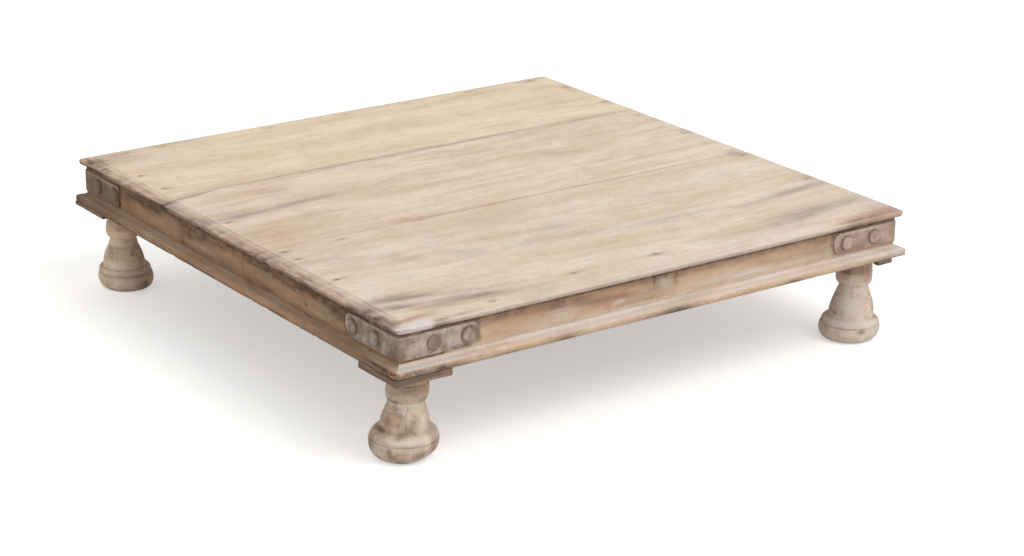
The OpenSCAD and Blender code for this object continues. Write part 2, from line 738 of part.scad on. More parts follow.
module front_left_strap_nails() { color(old_iron) strap_nail_places(-1, -1) domed_nail(); }
module front_right_strap_nails() { color(old_iron) strap_nail_places(1, -1) domed_nail(); }
module back_left_strap_nails() { color(old_iron) strap_nail_places(-1, 1) domed_nail(); }
module back_right_strap_nails() { color(old_iron) strap_nail_places(1, 1) domed_nail(); }

top_board_front();
top_board_middle();
top_board_back();
front_rail();
back_rail();
left_rail();
right_rail();
front_moulding();
back_moulding();
left_moulding();
right_moulding();
front_left_leg();
front_right_leg();
back_left_leg();
back_right_leg();
front_left_wedge();
front_right_wedge();
back_left_wedge();
back_right_wedge();
front_left_pad();
back_left_pad();
back_right_pad();
front_right_pad_remnant();
front_left_strap();
front_right_strap();
back_left_strap();
back_right_strap();
front_left_strap_nails();
front_right_strap_nails();
back_left_strap_nails();
back_right_strap_nails();
left_batten();
right_batten();
board_nails();
moulding_nails();
batten_nails();
pad_nails();
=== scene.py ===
"""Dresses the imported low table: worn teak boards, frame and legs, iron straps and nails.

+X runs along the front edge, +Y to the back and +Z up, as in the frame. Lengths are in metres,
but millimetres in the tables of patches and nails and in the turned sizes of the legs.
"""

import logging
import math
from dataclasses import dataclass, field
from enum import Enum
from typing import Callable, Sequence

import bmesh
import bpy
import numpy as np
from mathutils import Matrix, Vector


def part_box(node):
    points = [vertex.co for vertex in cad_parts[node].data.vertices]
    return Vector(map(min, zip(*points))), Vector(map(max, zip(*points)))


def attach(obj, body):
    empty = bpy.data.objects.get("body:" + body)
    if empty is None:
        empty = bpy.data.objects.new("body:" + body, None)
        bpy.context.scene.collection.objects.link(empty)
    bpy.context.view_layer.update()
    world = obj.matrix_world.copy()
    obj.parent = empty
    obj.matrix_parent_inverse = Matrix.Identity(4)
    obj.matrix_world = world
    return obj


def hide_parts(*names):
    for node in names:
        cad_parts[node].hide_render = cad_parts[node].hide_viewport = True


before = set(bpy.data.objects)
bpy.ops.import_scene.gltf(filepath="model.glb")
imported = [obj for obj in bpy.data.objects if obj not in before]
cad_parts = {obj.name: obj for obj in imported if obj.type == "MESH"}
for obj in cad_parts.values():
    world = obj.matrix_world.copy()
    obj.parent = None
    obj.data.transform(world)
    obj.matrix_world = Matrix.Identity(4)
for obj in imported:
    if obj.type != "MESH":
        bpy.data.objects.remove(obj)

Array = np.ndarray
Material = bpy.types.Material
Socket = bpy.types.NodeSocket
Tree = bpy.types.NodeTree
MM = 0.001
BODY = "root"
log = logging.getLogger("table")


def linear(hex_colour: str) -> tuple[float, float, float, float]:
    """Turns an sRGB hex colour into the linear one that a shader socket takes.

    Args:
        hex_colour: six hex digits.
    Returns:
        Red, green, blue and an alpha of 1.
    """
    parts = [int(hex_colour[i:i + 2], 16) / 255 for i in (0, 2, 4)]
    red, green, blue = (c / 12.92 if c <= 0.04045 else ((c + 0.055) / 1.055) ** 2.4 for c in parts)
    return red, green, blue, 1.0


def smooth(low: float, high: float, value: Array) -> Array:
    """Smooth step: 0 below low, 1 above high and an S curve between them."""
    share = np.clip((value - low) / (high - low), 0, 1)
    return share * share * (3 - 2 * share)


def bell(off: Array, width: float) -> Array:
    """Bell curve: 1 where the offset is nothing, and about a third one width away."""
    return np.exp(-(off / width) ** 2)


def fade(way: Array, length: float) -> Array:
    """Falls from 1 at the start of a way to about a third after one length."""
    return np.exp(-way / length)


def parts_of(step: Array, count: int) -> Array:
    """Evenly spaced parts of a step, from nothing to the whole of it, as rows."""
    return np.linspace(0, 1, count)[:, None] * step


def drawn(along_y: bool, length: float, width: float) -> tuple[float, float, float]:
    """Cell of a noise that is drawn out along a timber, in metres along x, y and z."""
    return (width, length, width) if along_y else (length, width, width)


@dataclass(frozen=True)
class Noise:
    """Seeded value noise in space: random corner values of a lattice, blended by smooth steps."""

    seed: int

    def corner(self, i: Array, j: Array, k: Array) -> Array:
        """A fixed number from -1 to 1 for each lattice corner, made by mixing its whole numbers.

        Args:
            i: the corner's number along x.
            j: along y.
            k: along z.
        Returns:
            Numbers from -1 to 1.
        """
        mixed = (i * 374761393 + j * 668265263 + k * 974634777 + self.seed * 1442695041) & 0xFFFFFFFF
        mixed = ((mixed ^ (mixed >> 13)) * 1274126177) & 0xFFFFFFFF
        return ((mixed ^ (mixed >> 16)) & 0xFFFF) / 32767.5 - 1

    def at(self, points: Array, size: Sequence[float]) -> Array:
        """Blends the eight corner values round each point, for cells of a size along x, y and z.

        Args:
            points: places, with x, y and z along the last axis.
            size: the cell along x, y and z.
        Returns:
            Noise from -1 to 1 at each place.
        """
        cells = points / np.asarray(size, float)
        low = np.floor(cells).astype(np.int64)
        share = smooth(0, 1, cells - low)
        total = np.zeros(points.shape[:-1])
        for corner in range(8):
            step = np.array([corner & 1, corner >> 1 & 1, corner >> 2 & 1])
            weight = np.prod(np.where(step == 1, share, 1 - share), axis=-1)
            total += weight * self.corner(*np.moveaxis(low + step, -1, 0))
        return total

    def rough(self, points: Array, size: Sequence[float], octaves: int = 4) -> Array:
        """Sums octaves of the noise, each half the size and half the strength of the last.

        Args:
            points: places, with x, y and z along the last axis.
            size: the cell of the coarsest octave along x, y and z.
            octaves: how many octaves are summed.
        Returns:
            Noise of about -1 to 1 at each place.
        """
        layers = [Noise(self.seed + 17 * n).at(points, np.asarray(size) / 2 ** n) / 2 ** n
                  for n in range(octaves)]
        return sum(layers) / (2 - 2 ** (1 - octaves))


@dataclass
class Shell:
    """A closed surface on a grid: rows follow a piece's length, columns go round its section.

    The columns join up into a loop. The first and last rows are closed by a middle point each.
    """

    points: Array
    marks: dict[str, Array] = field(default_factory=dict)

    def wear(self, depth: Array) -> None:
        """Moves each point inwards by its depth, along the cross product of row and column steps.

        Args:
            depth: how far each point moves.
        """
        along = np.gradient(self.points, axis=0)
        around = np.roll(self.points, -1, axis=1) - np.roll(self.points, 1, axis=1)
        cross = np.cross(along, around)
        unit = cross / np.maximum(np.linalg.norm(cross, axis=-1, keepdims=True), 1e-12)
        out = self.points - self.points.mean(axis=1, keepdims=True)
        unit *= 1 if (unit * out).sum() > 0 else -1
        self.points = self.points - unit * depth[..., None]

    def mesh(self, name: str) -> bpy.types.Mesh:
        """Builds the mesh: quads between neighbouring rows, and a fan of triangles at each end.

        Args:
            name: name of the mesh.
        Returns:
            The mesh, smooth but for the rims of its ends, with its marks as point attributes.
        """
        rows, columns = self.points.shape[:2]
        index = np.arange(rows * columns).reshape(rows, columns)
        onward = np.roll(index, -1, axis=1)
        hub = np.full(columns, rows * columns)
        quads = np.stack([index[:-1], onward[:-1], onward[1:], index[1:]], axis=-1).reshape(-1, 4)
        fans = np.concatenate([np.stack([hub, onward[0], index[0]], axis=-1),
                               np.stack([hub + 1, index[-1], onward[-1]], axis=-1)])
        middles = self.points.mean(axis=1, keepdims=True)
        facing = np.cross(self.points[1:] - self.points[:-1],
                          (np.roll(self.points, -1, axis=1) - self.points)[:-1])
        if (facing * (self.points - middles)[:-1]).sum() > 0:
            quads, fans = quads[:, ::-1], fans[:, ::-1]
        places = np.concatenate([self.points.reshape(-1, 3), middles[[0, -1], 0]])
        mesh = bpy.data.meshes.new(name)
        mesh.from_pydata(places.tolist(), [], quads.tolist() + fans.tolist())
        mesh.polygons.foreach_set("use_smooth", np.ones(len(mesh.polygons), bool))
        pairs = np.zeros(2 * len(mesh.edges), np.int32)
        mesh.edges.foreach_get("vertices", pairs)
        row = pairs.reshape(-1, 2) // columns
        crisp = ((row == 0) | (row == rows - 1)).all(axis=1)
        mesh.attributes.new("sharp_edge", "BOOLEAN", "EDGE").data.foreach_set("value", crisp)
        for mark, values in self.marks.items():
            flat = np.concatenate([values.reshape(-1), [values[0].mean(), values[-1].mean()]])
            layer = mesh.attributes.new(mark, "FLOAT", "POINT")
            layer.data.foreach_set("value", flat.astype(np.float32))
        mesh.update()
        return mesh


def place(shells: Sequence[Shell], name: str, material: Material,
          nodes: Sequence[str]) -> None:
    """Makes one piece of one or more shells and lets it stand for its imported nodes.

    Args:
        shells: closed surfaces in the frame's own place.
        name: name of the piece.
        material: its finish.
        nodes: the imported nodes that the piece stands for.
    """
    pieces = []
    for number, shell in enumerate(shells):
        piece = bpy.data.objects.new(f"{name}_{number}", shell.mesh(name))
        bpy.context.scene.collection.objects.link(piece)
        piece.data.materials.append(material)
        pieces.append(piece)
    piece = pieces[0]
    if len(pieces) > 1:
        with bpy.context.temp_override(active_object=piece, selected_editable_objects=pieces):
            bpy.ops.object.join()
    piece.name = name
    clean(piece)
    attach(piece, BODY)
    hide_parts(*nodes)
    log.info("%s: %d faces", name, len(piece.data.polygons))


def clean(piece: bpy.types.Object, reach: float = 0.004 * MM) -> None:
    """Merges points that lie together, so that pinched ends close, and drops empty faces.

    Args:
        piece: the piece, changed in place.
        reach: how near points count as one.
    """
    form = bmesh.new()
    form.from_mesh(piece.data)
    bmesh.ops.remove_doubles(form, verts=form.verts, dist=reach)
    bmesh.ops.dissolve_degenerate(form, edges=form.edges, dist=reach)
    form.to_mesh(piece.data)
    form.free()


def give(node: str, material: Material) -> None:
    """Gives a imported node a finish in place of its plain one.

    Args:
        node: its node.
        material: its finish.
    """
    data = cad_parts[node].data
    data.materials.clear()
    data.materials.append(material)
    log.info("%s: packed solid, refinished", node)


@dataclass(frozen=True)
class Layout:
    """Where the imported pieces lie, read from their boxes."""

    half_w: float
    half_d: float
    top_z: float
    seat_z: float
    rail_z: float
    moulding_z: float
    face_x: float
    face_y: float
    rail_w: float
    nose_x: float
    front_seam: float
    back_seam: float
    seam_dip: float
    seam_gap: float
    strap_z: tuple[float, float]
    strap_t: float

    @classmethod
    def read(cls) -> "Layout":
        """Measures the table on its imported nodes.

        Returns:
            The layout.
        """
        low, high = zip(*(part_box(node) for node in (
            "top_board_front", "top_board_middle", "top_board_back", "front_rail", "left_rail",
            "front_moulding", "front_left_strap")))
        front, middle, back, rail, side, moulding, strap = range(7)
        gap = low[middle].y - high[front].y
        return cls(
            half_w=high[front].x, half_d=high[back].y, top_z=high[front].z, seat_z=low[front].z,
            rail_z=low[rail].z, moulding_z=low[moulding].z, face_x=-low[side].x, face_y=-low[rail].y,
            rail_w=high[side].x - low[side].x, nose_x=-low[moulding].x,
            front_seam=high[front].y + gap / 2, back_seam=high[middle].y + gap / 2,
            seam_dip=high[middle].y + gap - low[back].y, seam_gap=gap,
            strap_z=(low[strap].z, high[strap].z), strap_t=low[side].x - low[strap].x)


class Mark(Enum):
    """What a point's mark says of the surface there: its stains and wear, and the shade and highlights
    painted into its colour.
    """

    GREY = "grey"
    WARM = "warm"
    PALE = "pale"
    DIRT = "dirt"
    RUST = "rust"
    RUBBED = "rubbed"


GREY, WARM, PALE, DIRT, RUST, RUBBED = Mark


@dataclass(frozen=True)
class Patch:
    """A soft oval patch of one mark on a face, in millimetres.

    The first axis runs along the piece, or is the bearing in degrees on a leg. The second runs
    across it or up. A higher edge power gives the patch a crisper rim.
    """

    a: float
    b: float
    half_a: float
    half_b: float
    strength: float
    turn: float = 0.0
    edge: float = 1.2

    def at(self, a: Array, b: Array) -> Array:
        """How much of the patch lies at each place: a bell curve in the oval's own axes.

        Args:
            a: places along the first axis.
            b: places along the second.
        Returns:
            What the patch adds to its mark.
        """
        angle = math.radians(self.turn)
        da, db = a - self.a, b - self.b
        along = (da * math.cos(angle) + db * math.sin(angle)) / self.half_a
        across = (db * math.cos(angle) - da * math.sin(angle)) / self.half_b
        return self.strength * np.exp(-(along ** 2) ** self.edge - (across ** 2) ** self.edge)


# Patches by piece and mark, placed where the photograph has its largest stains and bare spots, and where
# shade and highlights are painted in, as the notes below say. Each row is a Patch: its middle, half
# lengths, strength, turn in degrees and edge power.
SPOTS = {
    ("top", GREY): (
        (-270, 58, 95, 7, 0.9, 4), (-330, 62, 30, 8, 0.5), (-305, -298, 50, 7, 0.9, -6),
        (-335, -316, 24, 7, 0.8, -10), (-265, -322, 60, 6, 0.5, -8), (-245, -335, 60, 8, 0.7, -8),
        (-325, -288, 40, 9, 0.6), (-205, -318, 50, 7, 0.5, -6), (-245, -180, 28, 14, 0.35, -40),
        (-175, -205, 30, 12, 0.3, -30), (-20, -190, 42, 14, 0.4), (-45, -215, 60, 9, 0.3),
        (-330, -140, 45, 12, 0.35, -10), (30, -235, 190, 12, 0.25, -5), (110, -235, 60, 14, 0.25),
        (330, -236, 60, 8, 0.75, 6), (250, -250, 70, 9, 0.4, 10), (310, -310, 90, 16, 0.75, 4),
        (350, -352, 26, 16, 0.6), (230, -330, 60, 16, 0.5, 8), (10, -335, 22, 9, 0.35),
        (130, -330, 60, 8, 0.25), (-330, 160, 60, 9, 0.5, 14), (-180, 168, 110, 5, 0.4),
        (20, 166, 130, 4, 0.35), (110, 168, 130, 6, 0.35), (300, 168, 70, 6, 0.3),
        (-320, 335, 50, 16, 0.35, -20), (-245, 368, 35, 8, 0.6), (-330, 362, 20, 8, 0.4),
        (345, 366, 26, 10, 0.5), (-245, 25, 12, 30, 0.3), (-170, -70, 120, 4, 0.3), (365, -75, 14, 16, 0.7),
        (366, 40, 12, 14, 0.6), (366, 300, 12, 18, 0.55), (366, 215, 10, 14, 0.5),
        (366, -205, 12, 16, 0.55), (-60, -130, 60, 22, 0.2, -20), (150, -160, 110, 18, 0.18, 5),
        (-366, 145, 14, 9, 0.9), (-366, -95, 14, 8, 0.8), (-366, 60, 14, 10, 0.8),
        (-366, -305, 14, 12, 0.5), (330, 70, 45, 6, 0.4, 5), (250, -20, 70, 5, 0.3, 4),
        (300, 250, 60, 7, 0.3)),
    ("top", WARM): (
        (-325, -15, 45, 50, 0.42), (-250, 130, 35, 26, 0.35), (-245, 178, 55, 10, 0.35),
        (-150, -62, 70, 8, 0.45), (-300, -60, 60, 8, 0.3), (-120, -330, 90, 9, 0.2),
        (-80, 262, 28, 16, 0.25), (210, 345, 70, 10, 0.35, 8), (-340, 300, 22, 40, 0.3),
        (-225, -10, 14, 22, 0.3), (335, -366, 62, 14, 1.3, 4), (255, -350, 60, 9, 0.45, 6),
        (-335, -358, 42, 9, 1.2, 3), (-300, -338, 40, 8, 0.6, -6), (-100, -372, 220, 5, 0.2),
        (-270, -325, 60, 5, 0.4, -6), (200, 130, 90, 40, 0.12), (330, 250, 30, 60, 0.2),
        (150, -77, 70, 3, 0.6), (300, -290, 60, 8, 0.3, 5), (-200, -66, 100, 9, 0.4),
        (-50, -74, 90, 5, 0.4), (-330, -50, 30, 26, 0.35), (-345, 215, 20, 40, 0.3)),
    # The rows along the front nose at y -374.5, along the bands' inner lines at y -348 and -340 and x -354,
    # and beside the front seam at y -79.5 are painted highlights; the others are pale worn and chipped
    # wood.
    ("top", PALE): (
        (0, -374.5, 345, 2.6, 0.45), (-352, -370, 25, 7, 1.1, 2, 4), (-335, -366, 12, 4, 0.8, 6, 3),
        (-300, 320, 50, 14, 0.4, 25), (120, -79.5, 115, 1.8, 0.7), (0, -348, 260, 2.0, 0.45),
        (200, -340, 150, 2.0, 0.3), (-260, 292, 30, 8, 0.3, 20), (-170, -165, 20, 60, 0.2),
        (-160, 0, 60, 40, 0.15), (40, -362, 330, 5, 0.3), (-354, -60, 1.6, 230, 0.4)),
    ("top", DIRT): (
        (-262, -85, 7, 3, 0.45), (-145, -78, 5, 2.5, 0.45), (-139, -322, 6, 2.0, 0.45),
        (-320, -347, 30, 3, 0.3, 8), (335, -367, 52, 9, 0.5), (-360, 345, 16, 18, 0.5),
        (-334, -354, 28, 2.6, 0.5, 4), (-315, -372, 12, 4, 0.7), (-369, -342, 6, 16, 0.5),
        (-285, -369, 22, 4, 0.35), (-312, -297, 34, 3.5, 0.3, -6), (-336, -316, 18, 4, 0.4, -10),
        (-300, -333, 26, 5, 0.28, -6), (-368, -306, 7, 9, 0.5), (-368, -331, 7, 6, 0.5),
        (-235, -355, 7, 2.4, 0.6), (-371, 317, 9, 2.5, 0.8), (-371, 147, 6, 4, 0.4), (-371, -95, 6, 4, 0.4),
        (-240, -334, 26, 5, 0.4, -6), (10, 166, 180, 1.2, 0.25), (100, -75, 230, 1.6, 0.3),
        (-320, 158, 40, 2.0, 0.35, 12), (-300, 100, 60, 1.2, 0.25, 3), (-365, 263, 8, 2, 0.3),
        (300, -371, 30, 4, 0.4)),
    # The rows at x -263 and 266 are painted shadows round the straps' ends, with some grime; at z 126 the
    # rows take grime and painted shade out of the crease over the moulding and lay pale dust with a painted
    # highlight there.
    ("front_rail", DIRT): (
        (-12, 152, 2, 9, 0.6), (6, 153, 1.6, 8, 0.5), (20, 151, 2.4, 9, 0.5), (-90, 143, 60, 4, 0.4, -2),
        (-150, 150, 60, 5, 0.25), (-30, 132, 40, 3, 0.25), (240, 150, 30, 6, 0.25), (110, 153, 60, 4, 0.2),
        (-225, 152, 30, 5, 0.3), (-263, 142, 5, 14, 0.7, 0, 2), (266, 142, 4, 14, 0.5, 0, 2),
        (0, 126, 360, 2.5, -0.3)),
    # The long row at z 152 is painted shade under the lip, in a warm brown.
    ("front_rail", WARM): (
        (-100, 141, 75, 7, 0.7), (150, 143, 60, 6, 0.4), (-220, 140, 40, 9, 0.5), (255, 142, 30, 10, 0.8),
        (20, 138, 60, 5, 0.3), (0, 152, 280, 7, 0.5)),
    ("front_rail", PALE): (
        (-65, 137, 9, 3, 0.8, 0, 3), (80, 136, 70, 4, 0.4), (4, 148, 8, 7, 0.5), (170, 133, 80, 3, 0.4),
        (-170, 132, 60, 3, 0.35), (0, 126, 360, 2.2, 0.6)),
    ("front_rail", GREY): (
        (200, 140, 50, 7, 0.3), (260, 135, 24, 9, 0.5), (-5, 146, 26, 10, 0.5), (0, 140, 360, 14, 0.14)),
    # The rows at y -264 and 277 are painted shadows round the straps' ends, with some grime.
    ("left_rail", DIRT): (
        (100, 143, 34, 8, 0.6), (115, 130, 8, 6, 0.7), (60, 150, 60, 5, 0.5), (-175, 136, 3, 3, 0.9),
        (220, 150, 60, 5, 0.4), (-130, 152, 60, 4, 0.4), (-240, 146, 30, 9, 0.5), (30, 130, 50, 3, 0.4),
        (-80, 130, 40, 4, 0.35), (-264, 142, 6, 14, 0.7, 0, 2), (277, 142, 5, 14, 0.6, 0, 2),
        *((-18 - 6.5 * n, 138, 1.3, 8, 0.3, 22 - 9 * n) for n in range(7))),
    ("left_rail", WARM): ((-140, 138, 90, 9, 0.5), (170, 136, 60, 8, 0.4), (20, 140, 50, 8, 0.3)),
    ("left_rail", PALE): (
        *((-15 - 6.5 * n, 138, 1.1, 8.5, 0.5, 24 - 9 * n) for n in range(7)), (60, 134, 50, 3, 0.4),
        (-200, 133, 40, 3, 0.4), (140, 147, 50, 3, 0.3)),
    ("left_rail", GREY): ((70, 140, 60, 10, 0.4), (-90, 146, 50, 6, 0.4), (-220, 140, 40, 9, 0.4)),
    # The row at z 124.5 takes grime and painted shade out of the crease under the rail; the long pale rows
    # from z 121 to 124.3, here and on the left strip, are painted highlights along the top of the cove and
    # the slope.
    ("front_moulding", DIRT): (
        (-150, 112, 12, 5, 0.6), (15, 112, 22, 6, 0.8), (195, 112, 10, 5, 0.6),
        (-345, 115, 50, 5, 0.5, 0, 2), (-300, 113, 34, 4, 0.35), (-367, 116, 14, 6, 0.3),
        (-322, 115, 6, 3, 0.4, 20, 2), (330, 113, 20, 5, 0.25), (-235, 113, 24, 3, 0.35),
        (0, 124.5, 370, 2.5, -0.3)),
    ("front_moulding", GREY): (
        (-150, 114, 26, 7, 0.6), (15, 114, 40, 7, 0.7), (200, 114, 30, 6, 0.5), (300, 118, 50, 7, 0.4),
        (362, 118, 22, 8, 0.7), (-335, 119, 60, 6, 0.5)),
    ("front_moulding", PALE): (
        (0, 124.3, 372, 1.8, 0.6), (-335, 121.8, 50, 2.0, 0.55), (-372, 118, 4, 1.6, 0.5, 20, 2),
        (-357, 115, 2.5, 1.4, 0.5, -10, 2), (-338, 118, 5, 1.2, 0.5, 8), (100, 121, 160, 2.0, 0.4),
        (-120, 121, 90, 2.0, 0.3), (330, 120, 40, 3, 0.5), (368, 118, 12, 5, 0.5)),
    ("front_moulding", WARM): ((-345, 116, 38, 3, 0.35), (-40, 116, 60, 4, 0.4), (120, 116, 70, 4, 0.3)),
    ("left_moulding", DIRT): (
        (-345, 116, 34, 6, 0.4, 0, 2), (372, 116, 16, 9, 0.5), (60, 114, 40, 5, 0.4),
        (300, 115, 60, 6, 0.45), (-130, 114, 20, 3, 0.4), (0, 113, 300, 2.5, 0.25),
        (-270, 119, 60, 5, 0.3)),
    ("left_moulding", PALE): (
        (-60, 121.8, 280, 1.4, 0.5), (-345, 121.8, 44, 1.1, 0.9), (-364, 118, 3, 1.6, 0.5, 15, 2),
        (150, 121, 60, 1.6, 0.4)),
    ("left_moulding", WARM): ((-60, 117, 280, 5, 0.8), (-350, 116, 30, 5, 0.7)),
    ("left_moulding", GREY): ((200, 117, 60, 6, 0.4), (340, 118, 40, 8, 0.5)),
    # On each leg, the rows at heights 84 to 107 at bearings round 235 degrees darken and warm the collar
    # under the moulding: painted shade.
    ("front_left_leg", PALE): (
        (238, 29, 24, 3, 0.8), (285, 46, 20, 14, 0.5), (235, 60, 70, 2.0, 0.6), (240, 67, 70, 2.4, 0.5),
        (215, 22.5, 60, 1.4, 0.6)),
    ("front_left_leg", DIRT): (
        (168, 37, 22, 3, 0.8), (190, 47, 10, 7, 0.4), (215, 12, 8, 4, 0.5), (262, 13, 9, 4, 0.5),
        (205, 58, 14, 3, 0.4), (235, 86, 85, 14, 0.34), (248, 40, 9, 4, 0.2), (225, 33, 9, 3, 0.35),
        (175, 71, 30, 3, 0.5), (300, 71, 26, 3, 0.5), (205, 68, 8, 5, 0.35), (228, 7, 12, 3, 0.4),
        (160, 18, 22, 14, 0.45), (312, 20, 22, 14, 0.35), (292, 22, 9, 7, 0.4)),
    ("front_left_leg", GREY): ((180, 45, 24, 14, 0.5), (250, 40, 26, 6, 0.5), (180, 15, 30, 10, 0.5)),
    ("front_left_leg", WARM): (
        (208, 48, 18, 12, 0.7), (225, 12, 40, 7, 0.5), (220, 84, 60, 12, 0.8), (290, 20, 14, 12, 0.7)),
    ("front_right_leg", PALE): (
        (240, 3, 70, 3, 0.7), (225, 46, 40, 16, 0.6), (235, 28, 40, 3, 0.5), (230, 66, 60, 2.0, 0.5),
        (235, 22, 60, 1.4, 0.5)),
    ("front_right_leg", DIRT): (
        (252, 17, 9, 3, 0.7), (235, 102, 95, 9, 0.5), (300, 50, 12, 12, 0.3), (235, 93, 80, 4, 0.3),
        (180, 73, 24, 3, 0.4), (300, 73, 20, 2.5, 0.4)),
    ("front_right_leg", WARM): ((256, 42, 20, 14, 0.7), (235, 92, 80, 8, 0.7), (300, 82, 20, 8, 0.5)),
    ("front_right_leg", GREY): ((200, 30, 24, 14, 0.4), (290, 20, 20, 10, 0.4)),
    ("back_left_leg", PALE): ((226, 34, 30, 5, 0.9), (230, 14, 34, 6, 0.5), (235, 62, 60, 2.0, 0.5)),
    ("back_left_leg", DIRT): (
        (235, 107, 90, 5, 0.7), (195, 104, 20, 9, 0.6), (200, 50, 26, 7, 0.3), (285, 8, 16, 5, 0.6),
        (255, 84, 60, 3, 0.3)),
    ("back_left_leg", GREY): ((200, 45, 30, 14, 0.4), (200, 15, 30, 12, 0.3)),
    ("back_left_leg", WARM): (
        (280, 20, 24, 10, 0.7), (245, 55, 34, 14, 0.6), (230, 18, 60, 12, 0.7), (235, 98, 80, 12, 0.8)),
    # On the front left and back left straps, the rust rows from 60 to 80 along lie on the arms that face
    # left and are painted shade with some rust; the rubbed rows at z 154 to 155 are painted highlights
    # along the upper edge.
    ("front_left_strap", RUST): (
        (0, 142, 12, 14, 1.3), (60, 140, 50, 16, 0.75), (-28, 133, 16, 5, 0.4), (80, 148, 20, 8, 0.5),
        (-67, 142, 24, 12, -0.6), (-105, 142, 3, 14, 0.8)),
    ("front_left_strap", RUBBED): ((-67, 143, 18, 8, 0.7), (-60, 154, 40, 2.5, 0.4)),
    ("front_right_strap", RUST): ((-62, 140, 9, 12, 0.5), (-20, 134, 18, 7, 0.4), (-95, 136, 12, 8, 0.4)),
    ("front_right_strap", RUBBED): ((-60, 154, 40, 2.5, 0.5), (-100, 146, 10, 6, 0.4)),
    ("back_left_strap", RUST): ((60, 140, 60, 16, 0.5),),
    ("back_left_strap", RUBBED): ((60, 155, 60, 2.0, 0.5),),
}
# The heads of the plain nails in the top, where the wood is dented and stained
NAIL_PLACES = (
    (-343, -203), (-343, -119), (-343, -89), (-343, 41), (-343, 201), (-343, 264),
    (-232.5, -333.5), (-105, -333.5), (15, -333.5), (361.5, -209.5), (361.5, -86), (361.5, 36),
    (361.5, 139.5), (361.5, 218), (361.5, 308), (-315, 361.5), (-259, 361.5), (-97.5, 361.5),
    (22.5, 361.5), (124, 361.5), (232.5, 361.5), (337.5, 361.5),
)
# How much of the grime and painted shade a full pale patch takes away: pale patches are fresh wood, and
# some are painted highlights
PALE_CLEARING = 0.8


def painted(base: dict[Mark, Array], piece: str = "", a: Array | float = 0.0,
            b: Array | float = 0.0) -> dict[str, Array]:
    """Adds a piece's patches to its marks and keeps them between 0 and 1.

    Args:
        base: each mark's own values over the surface.
        piece: whose patches lie on it, if any.
        a: places along the first axis of the patches.
        b: places along the second.
    Returns:
        The marks by name.
    """
    added = {mark: sum(Patch(*row).at(a, b) for row in SPOTS.get((piece, mark), ())) for mark in base}
    marks = {mark.value: np.clip(values + added[mark], 0, 1) for mark, values in base.items()}
    if PALE in base and DIRT in base:
        marks["dirt"] = marks["dirt"] * (1 - PALE_CLEARING * np.clip(added[PALE], 0, 1))
    return marks


class Side(Enum):
    """What a board's long edge is."""

    LIP = "moulded lip over the rail"
    SEAM = "edge against the next board"


@dataclass(frozen=True)
class Lip:
    """Section of the moulded lip, from the inner line of the band out, down and back to the rail.

    The band falls by a power of the way out. The nose is a small quarter circle above and a long
    quarter oval below, and the cove is a quarter oval that meets the rail's face.
    """

    layout: Layout
    band_w: float
    step: float = 0.6 * MM
    fall: float = 1.3 * MM
    upper_r: float = 1.4 * MM
    lower_h: float = 5.6 * MM
    lower_run: float = 3.8 * MM
    power: float = 1.7
    band_steps: int = 9

    def section(self) -> tuple[Array, Array]:
        """The section as two rows: distance in from the outermost edge, and height.

        Returns:
            Distances in from the outermost edge, and heights.
        """
        lay = self.layout
        way = np.linspace(0, 1, self.band_steps)
        above, below, sweep = (np.radians(turns) for turns in (
            (65, 40, 15), (0, 18, 36, 54, 72, 90), (112, 135, 158, 180)))
        band_z = lay.top_z - self.step - self.fall * way ** self.power
        widest = band_z[-1] - self.upper_r
        cove_run = lay.half_w - lay.face_x - self.lower_run
        cove_h = widest - self.lower_h - lay.seat_z
        insets = np.concatenate([
            [self.band_w + 0.3 * MM], self.band_w - way * (self.band_w - self.upper_r),
            self.upper_r * (1 - np.cos(above)), self.lower_run * (1 - np.cos(below)),
            self.lower_run - cove_run * np.cos(sweep)])
        heights = np.concatenate([
            [lay.top_z], band_z, widest + self.upper_r * np.sin(above),
            widest - self.lower_h * np.sin(below), lay.seat_z + cove_h * np.sin(sweep)])
        return insets, heights


